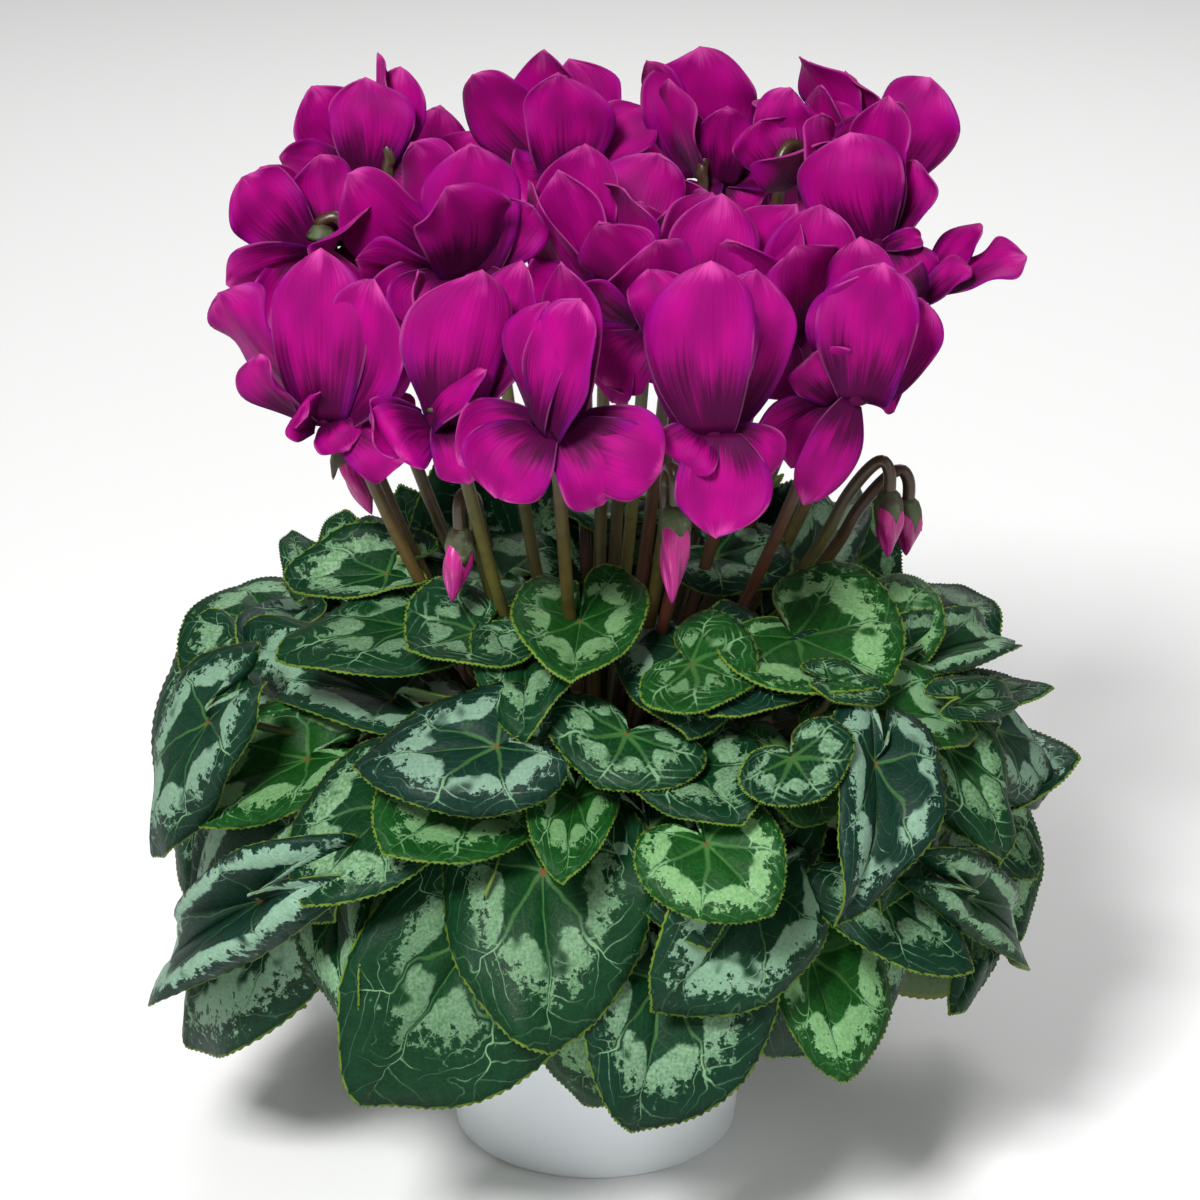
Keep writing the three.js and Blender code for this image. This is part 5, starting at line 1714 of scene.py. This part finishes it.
def make_petal(petal, seed, index):
    """A copy of the pattern, bent along one petal's spine."""
    piece = copy_of(petal_pattern, "petal")
    grid = places_of(petal_pattern)
    side, step = grid[:, 0], (grid[:, 1] + 1) / 2
    share = 0.35 * step + 0.65 * np.sin(step * np.pi / 2)
    hump = np.sin(np.pi * share)

    # The spine is a curve from the claw over the bulge to the tip.
    claw, tip = petal["claw"], petal["tip"]
    middle = claw + (tip - claw) * 0.45 + petal["bulge"]
    s = (share * (1 - 0.03 * side ** 2 * share))[:, None]
    spine = (1 - s) ** 2 * claw + 2 * s * (1 - s) * middle + s ** 2 * tip
    tangent = unit(2 * (1 - s) * (middle - claw) + 2 * s * (tip - middle))
    across = np.broadcast_to(petal["across"], tangent.shape)
    normal = unit(np.cross(across, tangent))

    # Across it the petal bows, twists and is wider on one side.
    width = petal["width"] * PETAL_GROWTH
    spread = petal_spread(share, vary(seed, index, 13))
    bow = near(BOWING, seed, index, 12) * width * hump
    twist = near(TWIST, seed, index, 3) * (share - 0.4)
    lopsided = 1 + near(LOPSIDED, seed, index, 14) * side * hump
    reach = side * spread * lopsided * width / 2
    spine = spine + across * (bow + reach * np.cos(twist))[:, None]

    # Off it the petal is cupped, waved at its sides, curled and rippled.
    size = width / 28
    cup = near(CUP, seed, index, 11) * side ** 2
    wave = WAVE_HEIGHT * size * np.abs(side) ** 2 * share * np.sin(
        near(PETAL_WAVES, seed, index, 4) * np.pi * share + 3 * vary(seed, index, 5)
        + 1.4 * np.sign(side))
    curled = np.clip(np.sign(vary(seed, index, 9)) * side, 0, 1)
    curl = SIDE_CURL * size * np.abs(vary(seed, index, 10)) * curled ** 2 * share
    tip_curl = near(TIP_CURL, seed, index, 6) * np.clip((share - 0.55) / 0.45, 0, 1) ** 2
    ripple = RIPPLE * np.sin(side * 15 + 2 * vary(seed, index, 7)) * hump
    crease = -CREASE * np.exp(-(side / 0.16) ** 2) * hump
    lift = (cup + wave + curl) * spread + tip_curl + ripple + crease + reach * np.sin(twist)
    set_places(piece, (spine + normal * lift[:, None]) * MM)
    add_numbers(piece, "petal_tone", vary(seed, index, 8))
    return piece


widest = int(petal_spread(np.linspace(0, 1, 101), 0).argmax())
print("a petal is widest at", widest, "% of its length")


# %% [markdown]
# ### Spun bodies
# The tube of a bloom, its calyx, the cup of a bud, the pot, the soil and the tuber are all round
# about an upright axis. A lathe or a potter's wheel would turn them from a profile, and the spin
# tool does the same. A small plane is merged to one point, which is moved to the profile's start
# and extruded from point to point. The line is then spun, and its last turn merged with its first.

# %% Spin a profile
def spun(name, profile, sides, material):
    """A round body about +Z, spun from a profile of radius and height pairs in millimetres."""
    points = np.array([(radius, 0, height) for radius, height in profile]) * MM
    deselect()
    bpy.ops.mesh.primitive_plane_add(size=MM, calc_uvs=False)
    piece = bpy.context.object
    piece.name = piece.data.name = name
    bpy.ops.object.mode_set(mode="EDIT")
    bpy.ops.mesh.select_mode(type="VERT")
    bpy.ops.mesh.merge(type="CENTER")
    bpy.ops.transform.translate(value=points[0])
    for step in np.diff(points, axis=0):
        bpy.ops.mesh.extrude_vertices_move(TRANSFORM_OT_translate={"value": step})
    bpy.ops.mesh.select_all(action="SELECT")
    bpy.ops.mesh.spin(steps=sides, angle=2 * math.pi, center=(0, 0, 0), axis=(0, 0, 1))
    bpy.ops.mesh.select_all(action="SELECT")
    bpy.ops.mesh.remove_doubles(threshold=MERGE_DISTANCE)
    bpy.ops.mesh.normals_make_consistent(inside=False)
    bpy.ops.object.mode_set(mode="OBJECT")
    bpy.ops.object.shade_smooth()
    piece.data.materials.append(material)
    return piece


def moved(piece, offset):
    """Moves the vertices of a piece by an offset in millimetres."""
    set_places(piece, places_of(piece) + np.array(offset) * MM)
    return piece


# %% [markdown]
# ### One bloom
# A bloom is its petals, the short tube that they are fused to, and the calyx with the stalk over
# it. The tube and the calyx are alike on every bloom, so each is spun once and copied. The calyx
# of a bud is a cup with five points, which are pulled down from the rim of a spun cup.

# %% Tubes, calyces and the cups of buds
CALYX_RADIUS = 3.6
SEPALS = 5
SEPAL_POINT = 0.75

tube_pattern = spun("tube_pattern", [
    (0, TUBE_HEIGHT), (TUBE_RADIUS - 1.4, TUBE_HEIGHT), (TUBE_RADIUS - 0.4, TUBE_HEIGHT - 2),
    (TUBE_RADIUS, 2), (TUBE_RADIUS, 0.4), (TUBE_RADIUS - 0.6, 0), (TUBE_RADIUS - 1.4, 0.8),
    (TUBE_RADIUS - 1.8, 3), (0, 4)], 20, petal_material)
# The whole tube takes the dark colour of a petal's claw, which is partly painted shade deep in the
# bloom
claw_spot = tube_pattern.data.uv_layers.new(name="petal")
claw_spot.data.foreach_set("uv", [0.5, 0.08] * len(tube_pattern.data.loops))
calyx_pattern = spun("calyx_pattern", [
    (0, TUBE_HEIGHT + 4.5), (1.8, TUBE_HEIGHT + 4.2), (3.2, TUBE_HEIGHT + 2.6),
    (CALYX_RADIUS + 1.2, TUBE_HEIGHT + 0.6), (CALYX_RADIUS + 1.4, TUBE_HEIGHT - 0.6),
    (CALYX_RADIUS, TUBE_HEIGHT + 0.3), (0, TUBE_HEIGHT + 0.3)], 15, calyx_material)

cup_pattern = spun("cup_pattern", [
    (0, 2.6), (2.2, 2.4), (3.6, 1), (4.5, -1.6), (4.9, -4.4), (4.8, -6.6), (4.2, -6), (3.8, -3),
    (0, -2)], 30, calyx_material)
cup_places = places_of(cup_pattern)
around = np.arctan2(cup_places[:, 1], cup_places[:, 0])
below = np.clip(-cup_places[:, 2] / MM - 3, 0, 4)
cup_places[:, 2] -= below * SEPAL_POINT * np.cos(SEPALS * around) * MM
set_places(cup_pattern, cup_places)
print("cup pattern faces:", len(cup_pattern.data.polygons))


# %% Make the blooms
REDNESS = (0.5, 0.5)


def add_stalk(name, line, end, seed):
    """A stalk along its line to an end, with the numbers that its material reads."""
    line = [*line, end]
    radii = [STALK_FOOT_RADIUS] * 3 + [STALK_RADIUS] * (len(line) - 3)
    stalk = make_rod(name, line, radii, stalk_material, 5, 2)
    heights = places_of(stalk)[:, 2]
    add_numbers(stalk, "stalk_height", (heights - heights.min()) / np.ptp(heights))
    add_numbers(stalk, "stalk_redness", near(REDNESS, seed, 21))
    return stalk


def make_bloom(i):
    """Bloom i: the corolla with its tube, the stalk and the calyx."""
    name, mouth, seen = blooms[i]
    places = petals_of(mouth, seen, i)
    places += petals_of(mouth, MORE_PETALS.get(name, []), i, least=0)
    petals = [make_petal(petal, i, k) for k, petal in enumerate(places)]
    corolla = joined(petals, f"petals_{name}")
    weld(corolla, flip=True)
    corolla.data.materials.append(petal_material)
    thicken(corolla, PETAL_THICKNESS, 0)
    tube = moved(copy_of(tube_pattern, f"tube_{name}"), mouth)
    corolla = joined([corolla, tube], f"petals_{name}")
    stalk = add_stalk(f"stem_{name}", stalk_lines[i], mouth + (0, 0, TUBE_HEIGHT + 3), i)
    calyx = moved(copy_of(calyx_pattern, f"calyx_{name}"), mouth)
    stand_in(corolla, f"bloom_{name}")
    stand_in(stalk, f"stalk_{name}")
    stand_in(calyx, f"stalk_{name}")


for i in range(len(blooms)):
    make_bloom(i)
print("blooms:", len(blooms))


# %% [markdown]
# ## Buds
# A bud's petals are rolled round each other in a long twisted spindle that hangs from its calyx. A
# cylinder could be twisted with a modifier. A grid that is wrapped round the bud's axis gives the
# same form with its own UV map, and its three soft ridges turn with its length.

# %% Make the buds
BUD_RADIUS = 4.312
BUD_RIDGES = 3
RIDGE_HEIGHT = 0.2
BUD_TWIST = math.radians(300)
FIRST_BUD_SEED = 50
BUD_SIDES = 40
BUD_RINGS = 26

bud_pattern = grid_pattern("bud_pattern", BUD_SIDES, BUD_RINGS, "bud")


def make_bud(i):
    """Bud i: its rolled petals, the stalk and the cup of its calyx."""
    name, calyx, tip = buds[i]
    piece = copy_of(bud_pattern, f"rolled_{name}")
    grid = places_of(bud_pattern)
    turn, share = grid[:, 0] * math.pi, (grid[:, 1] + 1) / 2
    spindle = np.sin(np.pi * np.clip(share * 0.93 + 0.07, 0, 1) ** 0.75) ** 0.8
    ridge = RIDGE_HEIGHT * np.sin(BUD_RIDGES * turn + BUD_TWIST * share)
    ridge = ridge * np.sin(np.pi * share)
    radius = BUD_RADIUS * spindle * (1 + ridge) * np.clip(share * BUD_RINGS, 0, 1)
    axis = unit(tip - calyx)
    sideways = unit(np.cross(axis, (0, 1, 0)))
    frontways = np.cross(axis, sideways)
    length = float(np.linalg.norm(tip - calyx))
    places = (calyx + axis * (share * length)[:, None]
              + sideways * (radius * np.cos(turn))[:, None]
              + frontways * (radius * np.sin(turn))[:, None])
    set_places(piece, places * MM)
    weld(piece, flip=False)
    piece.data.materials.append(bud_material)
    bpy.ops.object.shade_smooth()
    line = stalk_lines[len(blooms) + i]
    stalk = add_stalk(f"stem_{name}", line, calyx, FIRST_BUD_SEED + i)
    cup = moved(copy_of(cup_pattern, f"calyx_{name}"), calyx)
    stand_in(piece, name)
    stand_in(stalk, name)
    stand_in(cup, name)


for i in range(len(buds)):
    make_bud(i)
print("buds:", len(buds))


# %% [markdown]
# ## Pot, soil and tuber
# The pot is a thin shell with a stepped rim, the soil a low mound in it, and the tuber a flattened
# ball that stands half out of the soil. All three are spun from their profiles, from the inside of
# the base outward, up the wall and back in.

# %% Make the pot, soil and tuber
POT_HEIGHT = 112
POT_BASE_RADIUS = 48
POT_WALL_TOP_RADIUS = 60
POT_RIM_RADIUS = 65
POT_RIM_HEIGHT = 9
POT_WALL = 1.6
SOIL_TOP = 98
TUBER_RADIUS = 33
TUBER_BOTTOM = 76

lip = POT_HEIGHT - POT_RIM_HEIGHT
pot = spun("pot_shell", [
    (0, 0.8), (POT_BASE_RADIUS - 8, 0.8), (POT_BASE_RADIUS - 6, 0), (POT_BASE_RADIUS - 1.5, 0),
    (POT_BASE_RADIUS, 1.5), (POT_WALL_TOP_RADIUS, lip - 3), (POT_WALL_TOP_RADIUS + 1, lip - 1.2),
    (POT_RIM_RADIUS - 1.4, lip), (POT_RIM_RADIUS - 0.6, lip + 0.6),
    (POT_RIM_RADIUS, POT_HEIGHT - 1.5), (POT_RIM_RADIUS - 0.8, POT_HEIGHT),
    (POT_RIM_RADIUS - POT_WALL, POT_HEIGHT - 1),
    (POT_RIM_RADIUS - POT_WALL - 1.5, lip + 1.5), (POT_WALL_TOP_RADIUS - POT_WALL, lip - 2),
    (POT_BASE_RADIUS - POT_WALL, POT_WALL), (0, POT_WALL)], 96, pot_material)
soil = spun("peat_body", [
    (0, POT_WALL + 0.3), (POT_BASE_RADIUS - 3, POT_WALL + 0.3),
    (POT_WALL_TOP_RADIUS - 4, SOIL_TOP - 3), (POT_WALL_TOP_RADIUS - 6, SOIL_TOP - 0.8),
    (TUBER_RADIUS + 12, SOIL_TOP), (0, SOIL_TOP + 1)], 72, soil_material)
tuber = spun("tuber_skin", [
    (0, TUBER_BOTTOM), (TUBER_RADIUS - 8, TUBER_BOTTOM + 1), (TUBER_RADIUS - 1, SOIL_TOP - 6),
    (TUBER_RADIUS - 0.6, SOIL_TOP + 1), (TUBER_RADIUS - 3, CROWN_HEIGHT - 3),
    (TUBER_RADIUS - 8, CROWN_HEIGHT - 0.4), (0, CROWN_HEIGHT)], 48, tuber_material)
for piece, node in ((pot, "pot"), (soil, "soil"), (tuber, "tuber")):
    stand_in(piece, node)
print("pot faces:", len(pot.data.polygons))


# %% Remove the patterns
for pattern in (blade_pattern, petal_pattern, tube_pattern, calyx_pattern, cup_pattern,
                bud_pattern):
    bpy.data.objects.remove(pattern)
